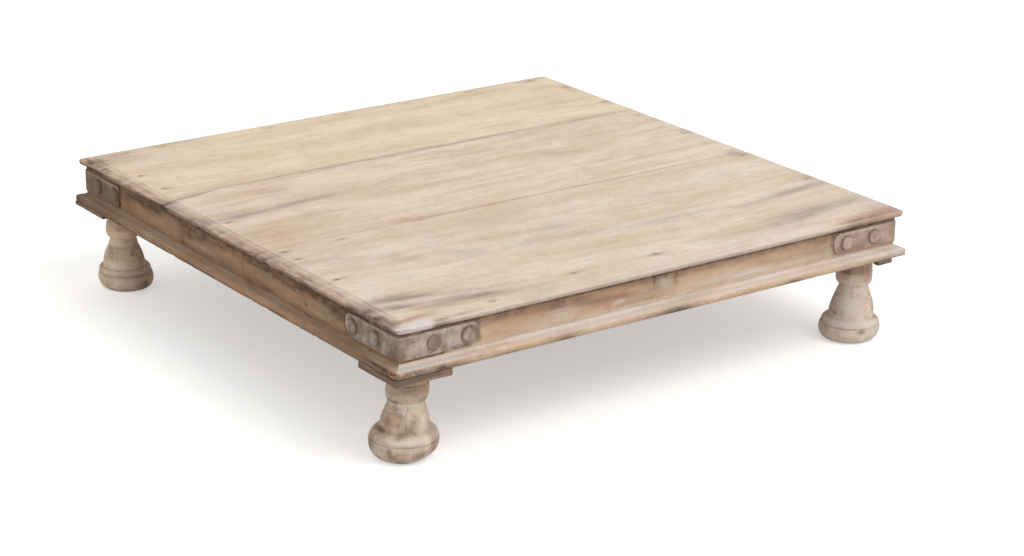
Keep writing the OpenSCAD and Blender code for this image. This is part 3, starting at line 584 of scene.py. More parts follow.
@dataclass
class Board:
    """One plank of the top, as section loops along its length, pinched to the end lips."""

    name: str
    layout: Layout
    front: Side
    back: Side
    front_line: Callable[[Array], Array]
    back_line: Callable[[Array], Array]
    wear_r: tuple[float, float]
    cell: float = 2.1 * MM
    long_band: float = 29 * MM
    end_band: float = 18.5 * MM
    under_steps: int = 24
    kept_h: float = 1.1 * MM
    corner_fade: float = 20 * MM
    seam_insets_mm: tuple[float, ...] = (1.5, 0.7, 0.3, 0.12, 0.04, 0.0, 0.0, 0.1)
    seam_drops_mm: tuple[float, ...] = (0, 0.05, 0.17, 0.6, 2.0, 4.5, 7.5, 11.5)
    # Places along the left edge, half widths and depths of its notches in millimetres
    left_notches: tuple[tuple[float, float, float], ...] = (
        (147, 5, 1.2), (-95, 5, 1.2), (55, 9, 1.0), (317, 1.8, 3.6), (341, 24, 2.4), (-300, 14, 0.7),
        (200, 20, 0.5))

    def lip(self, far: bool, band_w: float) -> Lip:
        """The lip on a near side, worn down, or on the far sides, which kept their height.

        Args:
            far: whether it is a far side.
            band_w: width of the band.
        Returns:
            The lip.
        """
        if far:
            return Lip(self.layout, band_w, step=0.2 * MM, fall=0.25 * MM, upper_r=0.9 * MM,
                       lower_h=7.4 * MM, lower_run=2.8 * MM)
        return Lip(self.layout, band_w)

    def edge(self, side: Side, far: bool) -> tuple[Array, Array]:
        """Insets and heights of one long edge's section, from the top of the board down.

        Args:
            side: what the edge is.
            far: whether it is the back one.
        Returns:
            Insets, and heights.
        """
        if side is Side.LIP:
            return self.lip(far, self.long_band).section()
        return (np.array(self.seam_insets_mm) * MM,
                self.layout.top_z - np.array(self.seam_drops_mm) * MM)

    def end(self, far: bool) -> tuple[Array, Array, Array]:
        """Insets from one end, each with the lowest and highest height that the end's lip leaves.

        Args:
            far: whether it is the right end.
        Returns:
            Insets, lowest and highest heights.
        """
        insets, heights = self.lip(far, self.end_band).section()
        nose = int(np.argmin(insets))
        middle = np.arange(self.end_band + self.cell, self.layout.half_w, self.cell)
        inset = np.unique(np.round(np.concatenate([insets, middle]), 7))
        inset = inset[inset < self.layout.half_w]
        top = np.interp(inset, insets[nose::-1], heights[nose::-1])
        low = np.interp(inset, insets[nose:], heights[nose:])
        top[0] = low[0] = (top[0] + low[0]) / 2
        return inset, low, top

    def loops(self) -> Array:
        """The board's points before wear: rows along X and columns round the section.

        The front lip has kept more of its height towards its right end. The worn corners follow
        a circle, and their shift fades towards the middle of the board.

        Returns:
            Points by row and column.
        """
        lay = self.layout
        (near_in, *near), (far_in, *far) = self.end(False), self.end(True)
        x = np.concatenate([near_in - lay.half_w, (lay.half_w - far_in)[::-1]])
        low, high = (np.concatenate([left, right[::-1]]) for left, right in zip(near, far))
        front_in, front_z = self.edge(self.front, False)
        back_in, back_z = self.edge(self.back, True)
        y0, y1 = self.front_line(x)[:, None], self.back_line(x)[:, None]
        count = int((float(np.mean(y1 - y0)) - front_in[0] - back_in[0]) / self.cell)
        # Up the front edge, over the top, down the back edge and home under the board: the share
        # of the width, the gaps from the front and the back line, and the height
        stretches = (
            (0.0, front_in[::-1], 0.0, front_z[::-1]),
            (np.linspace(0, 1, count + 2)[1:-1], front_in[0], back_in[0], lay.top_z),
            (1.0, 0.0, back_in, back_z),
            (np.linspace(1, 0, self.under_steps + 2)[1:-1], front_in[-1], back_in[-1], lay.seat_z))
        share, front_gap, back_gap, z = (np.concatenate(part) for part in zip(
            *(np.broadcast_arrays(*stretch) for stretch in stretches)))
        y = (1 - share) * (y0 + front_gap) + share * (y1 - back_gap)
        x = np.broadcast_to(x[:, None], y.shape)
        kept = smooth(180 * MM, 330 * MM, x) * smooth(32 * MM, 8 * MM, y + lay.half_d)
        z = z + self.kept_h * kept * smooth(lay.top_z - 7 * MM, lay.top_z - 3 * MM, z)
        z = np.clip(z, low[:, None], high[:, None])
        for sign, radius in zip((-1, 1), self.wear_r):
            over = np.clip(sign * x - (lay.half_w - radius), 0, radius)
            cut = radius - np.sqrt(np.maximum(radius ** 2 - over ** 2, 0))
            if self.front is Side.LIP:
                y = y + cut * fade(np.maximum(y + lay.half_d, 0), self.corner_fade)
            if self.back is Side.LIP:
                y = y - cut * fade(np.maximum(lay.half_d - y, 0), self.corner_fade)
        return np.stack([x, y, z], axis=-1)

    def build(self) -> Shell:
        """Makes the board's shell: loops, dents, chips, hollows and marks.

        Returns:
            The shell.
        """
        lay, points = self.layout, self.loops()
        x, y, z = np.moveaxis(points, -1, 0)
        top = smooth(lay.top_z - 6 * MM, lay.top_z - 1 * MM, z)
        edge = np.minimum(lay.half_w - np.abs(x), lay.half_d - np.abs(y))
        seams = np.min([np.abs(y - line(x[:, 0])[:, None]) if side is Side.SEAM else np.ones(y.shape)
                        for side, line in ((self.front, self.front_line), (self.back, self.back_line))],
                       axis=0)
        shell = Shell(points)
        shell.wear(self.depth(points, edge, seams, top))
        shell.points[..., 2] = np.clip(shell.points[..., 2], lay.seat_z, lay.top_z)
        shell.marks = self.paint(points, edge, seams, top)
        return shell

    def depth(self, points: Array, edge: Array, seams: Array, top: Array) -> Array:
        """How deep wear goes at each point: hollows, softened lip, chips, nail dents and seams.

        Args:
            points: the board's points.
            edge: their distances in plan from the table's outer edge.
            seams: their distances from the nearest seam.
            top: 1 on the upper face, falling to 0 down the edges.
        Returns:
            Depths in metres.
        """
        x, y = points[..., 0], points[..., 1]
        from_left, from_front = x + self.layout.half_w, y + self.layout.half_d
        x, y = x / MM, y / MM
        out = np.maximum(edge, 0)
        hollow = 0.26 * (1 + Noise(3).rough(points, (0.16, 0.05, 1), 3)) * smooth(2 * MM, 40 * MM, edge)
        streak = 0.06 * (1 + Noise(5).rough(points, (0.05, 0.004, 0.02), 3))
        handled = 0.3 + 0.7 * smooth(60 * MM, 25 * MM, np.minimum(from_left, from_front))
        rub = 0.25 * fade(out, 5 * MM) * (1 + Noise(7).rough(points, (0.03, 0.03, 0.02)))
        bite = smooth(0.42, 0.72, Noise(9).rough(points, (0.03, 0.03, 0.014)))
        chips = 1.3 * bite * fade(out, 3.0 * MM)
        dents = sum(0.25 * bell(x - nx, 5.5) * bell(y - ny, 2.6) for nx, ny in NAIL_PLACES)
        ragged = smooth(0.2, 0.75, Noise(11).rough(points, (0.03, 1, 0.03)))
        seam = (0.02 + 0.2 * ragged) * fade(seams, 1.8 * MM)
        left = smooth(20 * MM, 6 * MM, from_left)
        worn_end = 0.2 * left * (1 + Noise(13).rough(points, (0.005, 0.02, 0.005), 3))
        notch = sum(np.exp(-((y - at) / w) ** 4) * d for at, w, d in self.left_notches)
        notch = notch * fade(np.maximum(from_left, 0), 4.5 * MM)
        knocked = 1.1 * bell(np.hypot(from_left, from_front), 20 * MM)
        return MM * ((hollow + dents + seam) * top + streak + handled * (rub + chips) + worn_end
                     + notch + knocked)

    def paint(self, points: Array, edge: Array, seams: Array, top: Array) -> dict[str, Array]:
        """Marks: grey and warm stains, pale worn wood, grime, painted shade on and under the lip, and a
        painted highlight line.

        Args:
            points: the board's points.
            edge: their distances in plan from the table's outer edge.
            seams: their distances from the nearest seam.
            top: 1 on the upper face, falling to 0 down the edges.
        Returns:
            The marks by name.
        """
        lay = self.layout
        x, y, z = np.moveaxis(points, -1, 0)
        # Distance from the line where the moulded band begins, on whichever edge is near
        inner = np.minimum(*(np.abs(np.abs(at) - half + band) + (edge < band * 0.6) for at, half, band in (
            (x, lay.half_w, self.end_band), (y, lay.half_d, self.long_band))))
        broken = smooth(-0.4, 0.4, Noise(21).rough(points, (0.05, 0.05, 1)))
        fleck = smooth(-0.1, 0.5, Noise(27).rough(points, (0.010, 0.004, 0.01), 3))
        at_nose = fade(np.maximum(edge, 0), 7 * MM)
        left = smooth(-lay.half_w + 22 * MM, -lay.half_w + 4 * MM, x)
        ragged = smooth(0.0, 0.5, Noise(25).rough(points, (0.012, 0.045, 0.012)))
        blotch = smooth(0.0, 0.6, Noise(26).rough(points, (0.02, 0.05, 0.02)))
        grooved = bell(x + lay.half_w - 9.5 * MM, 1.3 * MM)
        x, y = x / MM, y / MM
        halo = sum(bell(x - nx - 1.5, 8.0) * bell(y - ny, 2.6) for nx, ny in NAIL_PLACES) * top
        # Painted shade down the lip's nose, which faces out and down, and a painted highlight along the
        # band's inner line at the left end
        on_nose = smooth(lay.top_z - 2.0 * MM, lay.top_z - 5.5 * MM, z)
        ridge_highlight = bell(inner - 1.6 * MM, 0.7 * MM)
        speckle = smooth(-0.1, 0.45, Noise(29).rough(points, (0.004, 0.016, 0.004), 3))
        # Grime at the seams and round the nail heads, a darker line along the band's inner edge, painted
        # shade on the nose (more at the left end) and under the lip, and dark speckle at the left end
        dirt = (0.12 * fade(seams, 1.2 * MM) * (0.3 + 0.7 * broken)
                + 0.16 * fade(inner, 0.7 * MM) * broken + 0.7 * halo * (0.6 + 0.4 * fleck)
                + on_nose * (0.36 + 0.2 * Noise(23).rough(points, (0.04, 0.04, 0.01)))
                + 0.25 * smooth(lay.top_z - 8.5 * MM, lay.top_z - 11.3 * MM, z)
                + left * (0.12 + 0.12 * ragged + 0.45 * speckle + 0.15 * grooved + 0.2 * on_nose)
                + 0.08 * at_nose * ragged)
        seamed = 0.2 * fade(seams, 5 * MM) * (y > 0)
        seamed = seamed * smooth(-0.5, 0.3, Noise(28).rough(points, (0.1,) * 3))
        # Soft stains wander far from their patches' ovals, and crisp marks only a little
        fray = Noise(74).rough(points, (0.016, 0.007, 1), 3)
        spread = (x + 20 * Noise(71).rough(points, (0.09, 0.02, 1)) + 7 * fray,
                  y + 6 * Noise(72).rough(points, (0.12, 0.016, 1)) + 3 * fray)
        ruffle = 1.5 * Noise(73).rough(points, (0.012, 0.006, 0.01), 3)
        marks = painted({GREY: left * (0.35 + 0.45 * blotch) + 0.12 * blotch * top + seamed,
                         WARM: 0.15 * at_nose * (1 - ragged) + left * (0.65 - 0.3 * blotch)},
                        "top", *spread)
        marks["grey"] = marks["grey"] * (0.35 + 0.65 * top)
        marks.update(painted({PALE: 0.5 * ridge_highlight * left, DIRT: dirt}, "top", x + ruffle,
                             y + ruffle))
        return marks


@dataclass
class PlankTop:
    """The three boards of the top."""

    layout: Layout
    dip_l: float = 115 * MM

    def seams(self, x: Array) -> tuple[Array, Array]:
        """Both seams: the front one straight, the rear one dipping left by half a cosine wave.

        Args:
            x: places along X.
        Returns:
            The seams' places along Y.
        """
        way = np.clip((x + self.layout.half_w) / self.dip_l, 0, 1)
        dip = self.layout.seam_dip * (1 + np.cos(np.pi * way)) / 2
        return np.full_like(x, self.layout.front_seam), self.layout.back_seam - dip

    def line(self, seam: int, side: int, seed: int) -> Callable[[Array], Array]:
        """A planed edge beside a seam.

        Args:
            seam: 0 for the front seam, 1 for the rear one.
            side: -1 for the board before it, 1 for the one behind it.
            seed: seed of the edge's own small wander, which is always away from the seam.
        Returns:
            The edge's place along Y for each place along X.
        """
        half = min(self.layout.seam_gap / 2, 0.04 * MM)

        def edge(x: Array) -> Array:
            """The seam, moved by half the gap and by the wander.

            Args:
                x: places along X.
            Returns:
                Places along Y.
            """
            along = np.stack([x, np.zeros_like(x), np.zeros_like(x)], axis=-1)
            wander = 0.03 * MM * (1 + Noise(seed).rough(along, (0.03, 1, 1)))
            return self.seams(x)[seam] + side * (half + wander)

        return edge

    def build(self, materials: Sequence[Material]) -> None:
        """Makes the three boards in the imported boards' places, each with its own tint.

        Args:
            materials: the boards' finishes, from the front.
        """
        depth = self.layout.half_d
        boards = (
            ("top_board_front", Side.LIP, Side.SEAM, lambda x: np.full_like(x, -depth),
             self.line(0, -1, 31), (6 * MM, 3 * MM)),
            ("top_board_middle", Side.SEAM, Side.SEAM, self.line(0, 1, 32), self.line(1, -1, 33),
             (0.0, 0.0)),
            ("top_board_back", Side.SEAM, Side.LIP, self.line(1, 1, 34),
             lambda x: np.full_like(x, depth), (3 * MM, 6 * MM)))
        for (node, *sizes), material in zip(boards, materials):
            board = Board(f"{node}_worn", self.layout, *sizes)
            place([board.build()], board.name, material, [node])


def carried(section: Array, stations: Array, along_y: bool = False,
            reach: Callable[[Array, Array], Array] | None = None) -> Shell:
    """Carries a section loop along X or Y, as a straight timber.

    Args:
        section: the loop's points as rows of across and up.
        stations: places along the timber.
        along_y: whether it runs along Y.
        reach: where given, it turns a station and a section point's place across into the place
            along the timber, which cuts the ends to a mitre.
    Returns:
        The timber's shell, with rows along it.
    """
    along, across, height = np.broadcast_arrays(stations[:, None], section[:, 0], section[:, 1])
    if reach is not None:
        along = reach(along, across)
    return Shell(np.stack((across, along, height) if along_y else (along, across, height), axis=-1))


def rounded_box(low: tuple[float, float], high: tuple[float, float], arris: float,
                cell: float) -> Array:
    """A rectangle with small rounded corners, as a loop of points.

    Args:
        low: lowest corner across and up.
        high: highest corner across and up.
        arris: radius of the rounded corners.
        cell: spacing of the points along the flat sides.
    Returns:
        Points as rows of across and up: each side evenly divided, each corner a quarter circle.
    """
    (a0, z0), (a1, z1) = low, high
    corners = []
    for a, z, start in ((a1 - arris, z1 - arris, 0), (a0 + arris, z1 - arris, 90),
                        (a0 + arris, z0 + arris, 180), (a1 - arris, z0 + arris, 270)):
        turn = np.radians(np.array([0, 30, 60, 90]) + start)
        corners.append(np.stack([a + arris * np.cos(turn), z + arris * np.sin(turn)], axis=-1))
    loop = []
    for corner, after in zip(corners, corners[1:] + corners[:1]):
        side = after[0] - corner[-1]
        count = max(2, int(np.linalg.norm(side) / cell))
        loop += [corner, corner[-1] + parts_of(side, count + 1)[1:-1]]
    return np.concatenate(loop)


# The table's sides: whether their timbers run along Y, and which way they face
SIDES = {"front": (False, -1), "back": (False, 1), "left": (True, -1), "right": (True, 1)}


@dataclass
class Frame:
    """The four rails of the flat frame and the two battens under the boards."""

    layout: Layout
    cell: float = 2.6 * MM

    def rail(self, side: str, material: Material) -> None:
        """Makes one rail, worn on its outer face, with its ends kept to its half of the lap.

        Args:
            side: the side it is on.
            material: its finish.
        """
        lay, name = self.layout, f"{side}_rail"
        along_y, sign = SIDES[side]
        face, length = (lay.face_x, lay.face_y) if along_y else (lay.face_y, lay.face_x)
        inner, outer = sorted((sign * face, sign * (face - lay.rail_w)))
        section = rounded_box((inner, lay.rail_z), (outer, lay.seat_z), 0.3 * MM, self.cell)
        lap = length - lay.rail_w
        ends = np.array([length, lap + 0.2 * MM])
        stations = np.concatenate([-ends, np.arange(-lap, lap, self.cell), [lap], ends[::-1]])
        shell = carried(section, stations, along_y)
        at_end = np.abs(stations) > lap + 0.1 * MM
        z = shell.points[..., 2]
        keep = np.minimum if along_y else np.maximum
        z[at_end] = keep(z[at_end], (lay.rail_z + lay.seat_z) / 2)
        flat = np.array(shell.points)
        depth = 0.1 * (1 + Noise(41).rough(flat, drawn(along_y, 0.11, 0.004), 3))
        depth += 0.3 * smooth(0.1, 0.8, Noise(43).rough(flat, drawn(along_y, 0.12, 0.02)))
        if side in ("left", "back"):
            depth += 0.35 * smooth(0.0, 0.6, Noise(47).rough(flat, drawn(along_y, 0.05, 0.003)))
        shell.wear(MM * depth * ~at_end[:, None])
        shell.marks = self.paint(name, flat, along_y)
        place([shell], f"{name}_worn", material, [name])

    def paint(self, name: str, points: Array, along_y: bool) -> dict[str, Array]:
        """Marks on a rail: painted shade under the lip, just under the boards and in the crease over the
        moulding, old grime, saw marks, worn patches.

        Args:
            name: the rail's name.
            points: its points before wear.
            along_y: whether it runs along Y.
        Returns:
            The marks by name.
        """
        lay = self.layout
        z = points[..., 2]
        seed = sum(map(ord, name))
        grime, cloud, glow = (Noise(seed + n).rough(points, drawn(along_y, 0.07, 0.008))
                              for n in (0, 50, 90))
        fray = Noise(seed + 130).rough(points, drawn(along_y, 0.012, 0.004), 3)
        fray *= 1.0 if name == "left_rail" else 0.2
        # Painted shade under the lip, its lower edge frayed by the noises; the darker mark adds painted
        # shade just under the boards and in the crease over the moulding, besides grime patches
        under = smooth(lay.seat_z - 15 * MM, lay.seat_z - 1 * MM, z + (9 * grime + 4 * fray) * MM)
        base = {
            DIRT: 0.6 * under + 0.16 * smooth(0.25, 0.75, grime)
            + 0.5 * smooth(lay.seat_z - 2.6 * MM, lay.seat_z - 1.6 * MM, z)
            + 0.16 * fade(z - lay.rail_z, 2.2 * MM),
            PALE: 0.35 * smooth(0.2, 0.8, cloud) * (1 - under),
            GREY: 0.3 * smooth(0.15, 0.7, -cloud),
            WARM: 0.55 * smooth(0.1, 0.7, glow),
        }
        along = points[..., 1 if along_y else 0] / MM + 5 * cloud + 1.5 * fray
        marks = painted(base, name, along, z / MM + 1.6 * grime + 2.5 * fray)
        marks["dirt"] = np.clip(marks["dirt"] * (1 + 0.8 * fray) + 0.1 * np.abs(fray), 0, 1)
        return marks

    def batten(self, name: str, material: Material) -> None:
        """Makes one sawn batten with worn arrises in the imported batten's box.

        Args:
            name: its node.
            material: its finish.
        """
        low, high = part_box(name)
        section = rounded_box((low.x, low.z), (high.x, high.z), 1.2 * MM, 3 * MM)
        shell = carried(section, np.arange(low.y, high.y + 1e-6, 4.3 * MM), True)
        flat = np.array(shell.points)
        shell.wear(0.2 * MM * (1 + Noise(61).rough(flat, (0.005, 0.1, 0.005))))
        patch = Noise(62).rough(flat, (0.02, 0.1, 0.02))
        shell.marks = painted({DIRT: 0.35 + 0.4 * patch, GREY: patch,
                               PALE: 0 * patch, WARM: -patch})
        place([shell], f"{name}_sawn", material, [name])

    def build(self, material: Material, brown: Material, inner: Material, across: Material) -> None:
        """Makes the rails and battens.

        Args:
            material: finish of the front and back rails.
            brown: of the left rail.
            inner: of the battens.
            across: of the right rail.
        """
        for side, wood in zip(SIDES, (material, material, brown, across)):
            self.rail(side, wood)
        for name in ("left_batten", "right_batten"):
            self.batten(name, inner)


@dataclass
class Moulding:
    """The mitred moulding that runs round under the frame."""

    layout: Layout
    cell: float = 2.2 * MM
    cove_r: float = 3.5 * MM
    slope_h: float = 0.5 * MM
    nose_run: float = 5 * MM
    full_z: float = 4.5 * MM
    draw_back: float = 0.6 * MM
    corner_r: float = 4.5 * MM
    knocked_r: float = 10 * MM

    def section(self) -> Array:
        """The section, out from the rail's face and up from its foot.

        A flat back and top, a cove as a quarter circle, an oval nose and a short return.

        Returns:
            Rows of out and up.
        """
        lay = self.layout
        out, height = lay.nose_x - lay.face_x, lay.rail_z - lay.moulding_z
        bottom = [out - self.draw_back, 0] + parts_of(np.array([self.draw_back - out - lay.rail_w, 0]), 12)
        rise = np.array([[-lay.rail_w, height * 0.5], [-lay.rail_w, height]])
        over = np.stack([np.linspace(-lay.rail_w * 0.66, 0, 4), np.full(4, height)], axis=-1)
        sweep, turn = np.radians(np.linspace(180, 270, 7)), np.radians(np.linspace(90, 0, 13))
        cove = np.stack([self.cove_r * (1 + np.cos(sweep)), height + self.cove_r * np.sin(sweep)], axis=-1)
        nose_top = height - self.cove_r - self.slope_h
        nose = np.stack([out - self.nose_run * (1 - np.cos(turn)),
                         self.full_z + (nose_top - self.full_z) * np.sin(turn)], axis=-1)
        slope = cove[-1] + parts_of(nose[0] - cove[-1], 5)[1:-1]
        way = np.linspace(0, 1, 6)[1:-1]
        fall = np.stack([out - self.draw_back * (1 - np.cos(np.pi * way)) / 2,
                         self.full_z * (1 - way)], axis=-1)
        return np.concatenate([bottom, rise, over, cove[1:], slope, nose, fall])

    def round_corners(self, points: Array) -> None:
        """Pulls what lies outside a circle at each plan corner in to it, alike in both strips.

        Args:
            points: a strip's points, changed in place.
        """
        plan = points[..., :2]
        radius = np.where((plan < 0).all(axis=-1), self.knocked_r, self.corner_r)[..., None]
        start = self.layout.nose_x - radius
        over = np.abs(plan) - start
        length = np.linalg.norm(over, axis=-1, keepdims=True)
        outside = (over.min(axis=-1, keepdims=True) > 0) & (length > radius)
        shrink = np.where(outside, radius / np.maximum(length, 1e-9), 1)
        points[..., :2] = np.sign(plan) * (start + over * shrink)

    def strip(self, side: str, material: Material) -> None:
        """Makes one strip: the section along its side, its ends drawn out to the mitre.

        Args:
            side: the side it is on.
            material: its finish.
        """
        lay, name = self.layout, f"{side}_moulding"
        along_y, sign = SIDES[side]
        face, half = (lay.face_x, lay.face_y) if along_y else (lay.face_y, lay.face_x)
        section = self.section() * [sign, 1] + [sign * face, lay.moulding_z]
        share = np.linspace(-1, 1, int(2 * half / self.cell))
        shell = carried(section, share, along_y,
                        lambda way, across: way * (half + np.abs(across) - face))
        self.round_corners(shell.points)
        flat = np.array(shell.points)
        out = np.abs(flat[..., 0 if along_y else 1]) - face
        along, z = flat[..., 1 if along_y else 0] / MM, flat[..., 2]
        nose = smooth(4 * MM, 11 * MM, out)
        bite = smooth(0.25, 0.6, Noise(91).rough(flat, (0.018, 0.018, 0.012), 3))
        corner = smooth(26, 4, along + half / MM) if (name, DIRT) in SPOTS else 0 * along
        inner = smooth(1.0, 0.98, np.abs(share))[:, None]
        split = bell(z / MM - 118.5 - 0.03 * (along + 355), 0.8) * smooth(-326, -338, along)
        split = split * nose * inner * (side == "left")
        fine = 1 + Noise(93).rough(flat, drawn(along_y, 0.09, 0.004), 3)
        shell.wear(MM * ((0.15 + 0.75 * bite + 0.6 * corner * (0.5 + bite)) * nose
                         + 0.1 * fine * inner + 1.1 * split))
        seed = sum(map(ord, name))
        patch, cloud, glow = (Noise(seed + n).rough(flat, drawn(along_y, 0.06, 0.016))
                              for n in (9, 33, 57))
        # Painted shade in the crease under the rail, and a painted highlight on the slope, which faces up;
        # the strip is also darker towards its bottom edge, and all over on the left side
        crevice_shade = fade(np.abs(out), 2.0 * MM) * smooth(lay.rail_z - self.cove_r - 4 * MM, lay.rail_z, z)
        slope = smooth(lay.moulding_z + 7.5 * MM, lay.moulding_z + 8.7 * MM, z)
        base = {
            DIRT: 0.14 * crevice_shade + 0.3 * smooth(0.2, 0.7, patch) + 0.9 * split
            + 0.3 * smooth(lay.moulding_z + 3 * MM, lay.moulding_z, z)
            + 0.35 * nose * corner * smooth(0.0, 0.5, Noise(82).rough(flat, (0.008,) * 3, 3))
            + 0.12 * (side == "left"),
            PALE: 0.3 * nose * bite + 0.5 * slope * smooth(-0.6, 0.4, cloud)
            + 0.7 * nose * corner * smooth(0.2, 0.45, Noise(81).rough(flat, (0.005,) * 3, 3)),
            GREY: 0.45 * smooth(0.1, 0.6, -patch),
            WARM: 0.5 * smooth(0.0, 0.6, glow),
        }
        shell.marks = painted(base, name, along + 3 * cloud, z / MM + 1.2 * patch)
        place([shell], f"{name}_worn", material, [name])

    def build(self, along_x: Material, along_y: Material, brown: Material) -> None:
        """Makes the four strips.

        Args:
            along_x: finish of the front and back strips.
            along_y: of the right strip.
            brown: of the left strip.
        """
        for side, wood in zip(SIDES, (along_x, along_x, brown, along_y)):
            self.strip(side, wood)


@dataclass
class Pads:
    """The three whole pads over the legs and the splinter left of the front right one."""

    layout: Layout
    bevel: float = 1.5 * MM

    def whole(self, name: str, material: Material) -> None:
        """Makes a square pad, with its lower edges bevelled all round.

        Args:
            name: its node.
            material: its finish.
        """
        low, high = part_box(name)
        section = rounded_box((low.y, low.z), (high.y, high.z), 1.3 * MM, 1.4 * MM)
        near = np.array([0, 0.5, 1.0, 1.6]) * MM
        stations = np.concatenate([low.x + near, np.linspace(low.x + 2.5 * MM, high.x - 2.5 * MM, 46),
                                   high.x - near[::-1]])
        shell = carried(section, stations)
        end = np.minimum(stations - low.x, high.x - stations)
        lift = np.maximum(self.bevel - end, 0)
        shell.points[..., 2] = np.maximum(shell.points[..., 2], (low.z + lift)[:, None])
        self.finish(shell, name, material, 0.6)

    def remnant(self, name: str, material: Material) -> None:
        """Makes the splinter: a thin bar whose back edge is torn and whose right end is round.

        Args:
            name: its node.
            material: its finish.
        """
        low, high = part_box(name)
        section = rounded_box((low.y, low.z), (high.y, high.z), 0.9 * MM, 0.9 * MM)
        way = np.linspace(0, 1, 34)
        shell = carried(section, low.x + way * (high.x - low.x))
        back = np.interp(way, (0, 0.26, 0.54, 0.85, 0.93, 1), (0.6, 0.95, 0.85, 0.9, 0.75, 0.52))
        front = np.interp(way, (0, 0.71, 0.85, 0.93, 1), (0, 0, 0.06, 0.2, 0.48))
        share = (shell.points[..., 1] - low.y) / (high.y - low.y)
        shell.points[..., 1] = low.y + (high.y - low.y) * (front[:, None] + (back - front)[:, None] * share)
        self.finish(shell, name, material, 0.5)

    def finish(self, shell: Shell, name: str, material: Material, tear: float) -> None:
        """Wears a pad's faces and marks its dirt, then puts it in place.

        Args:
            shell: the pad's shell.
            name: its node.
            material: its finish.
            tear: how deep its torn spots are in millimetres.
        """
        flat = np.array(shell.points)
        top = self.layout.moulding_z
        foot = smooth(top - 3 * MM, top - 8 * MM, flat[..., 2])
        torn = smooth(0.1, 0.7, Noise(101).rough(flat, (0.02, 0.012, 0.006)))
        shell.wear(MM * (0.12 + tear * torn * (0.3 + foot)))
        shell.points[..., 2] = np.minimum(shell.points[..., 2], top)
        patch = Noise(103).rough(flat, (0.03, 0.02, 0.004))
        shell.marks = painted({
            DIRT: 0.3 + 0.4 * patch, PALE: 0.3 * smooth(0, 0.5, -patch) + 0.4 * torn * foot,
            GREY: 0.35 + patch, WARM: 0.3 - patch})
        place([shell], f"{name}_worn", material, [name])

    def build(self, material: Material) -> None:
        """Makes the pads.

        Args:
            material: its finish.
        """
        for name in ("front_left_pad", "back_left_pad", "back_right_pad"):
            self.whole(name, material)
        self.remnant("front_right_pad_remnant", material)


@dataclass(frozen=True)
class Crack:
    """A split that runs up a turned leg: its bearing in degrees, its ends, width and depth."""

    bearing: float
    low_z: float
    high_z: float
    half_w: float = 0.5
    depth: float = 0.9
    dark: float = 0.8

    def at(self, angle: Array, z: Array, radius: Array) -> Array:
        """How much of the split lies at each point.

        Across, it is a bell curve whose middle wanders with height, and it fades at both ends.

        Args:
            angle: bearing of each point in degrees.
            z: its height.
            radius: its distance from the leg's middle.
        Returns:
            Shares from 0 to 1.
        """
        wander = 1.6 * np.sin(z / (11 * MM) + self.bearing) + 0.8 * np.sin(z / (3.1 * MM))
        off = (angle - self.bearing - wander + 180) % 360 - 180
        low, high = self.low_z * MM, self.high_z * MM
        ends = smooth(low - 3 * MM, low + 5 * MM, z) * smooth(high + 3 * MM, high - 6 * MM, z)
        return bell(np.radians(off) * radius, self.half_w * MM) * ends


@dataclass(frozen=True)
class LegShape:
    """The turned sizes of one leg in millimetres, from its foot up."""

    foot_d: float
    neck_d: float
    base_d: float = 54
    full_z: float = 15
    foot_h: float = 22
    taper: float = 1.2
    shoulder_h: float = 9
    ledge: float = 0.6
    vase_in: float = 10
    vase_top_d: float = 46
    neck_h: float = 12
    bead_d: float = 48.5
    bead_h: float = 20
    lean: tuple[float, float, float] = (0, 0, 0)
    sole_lift: float = 0


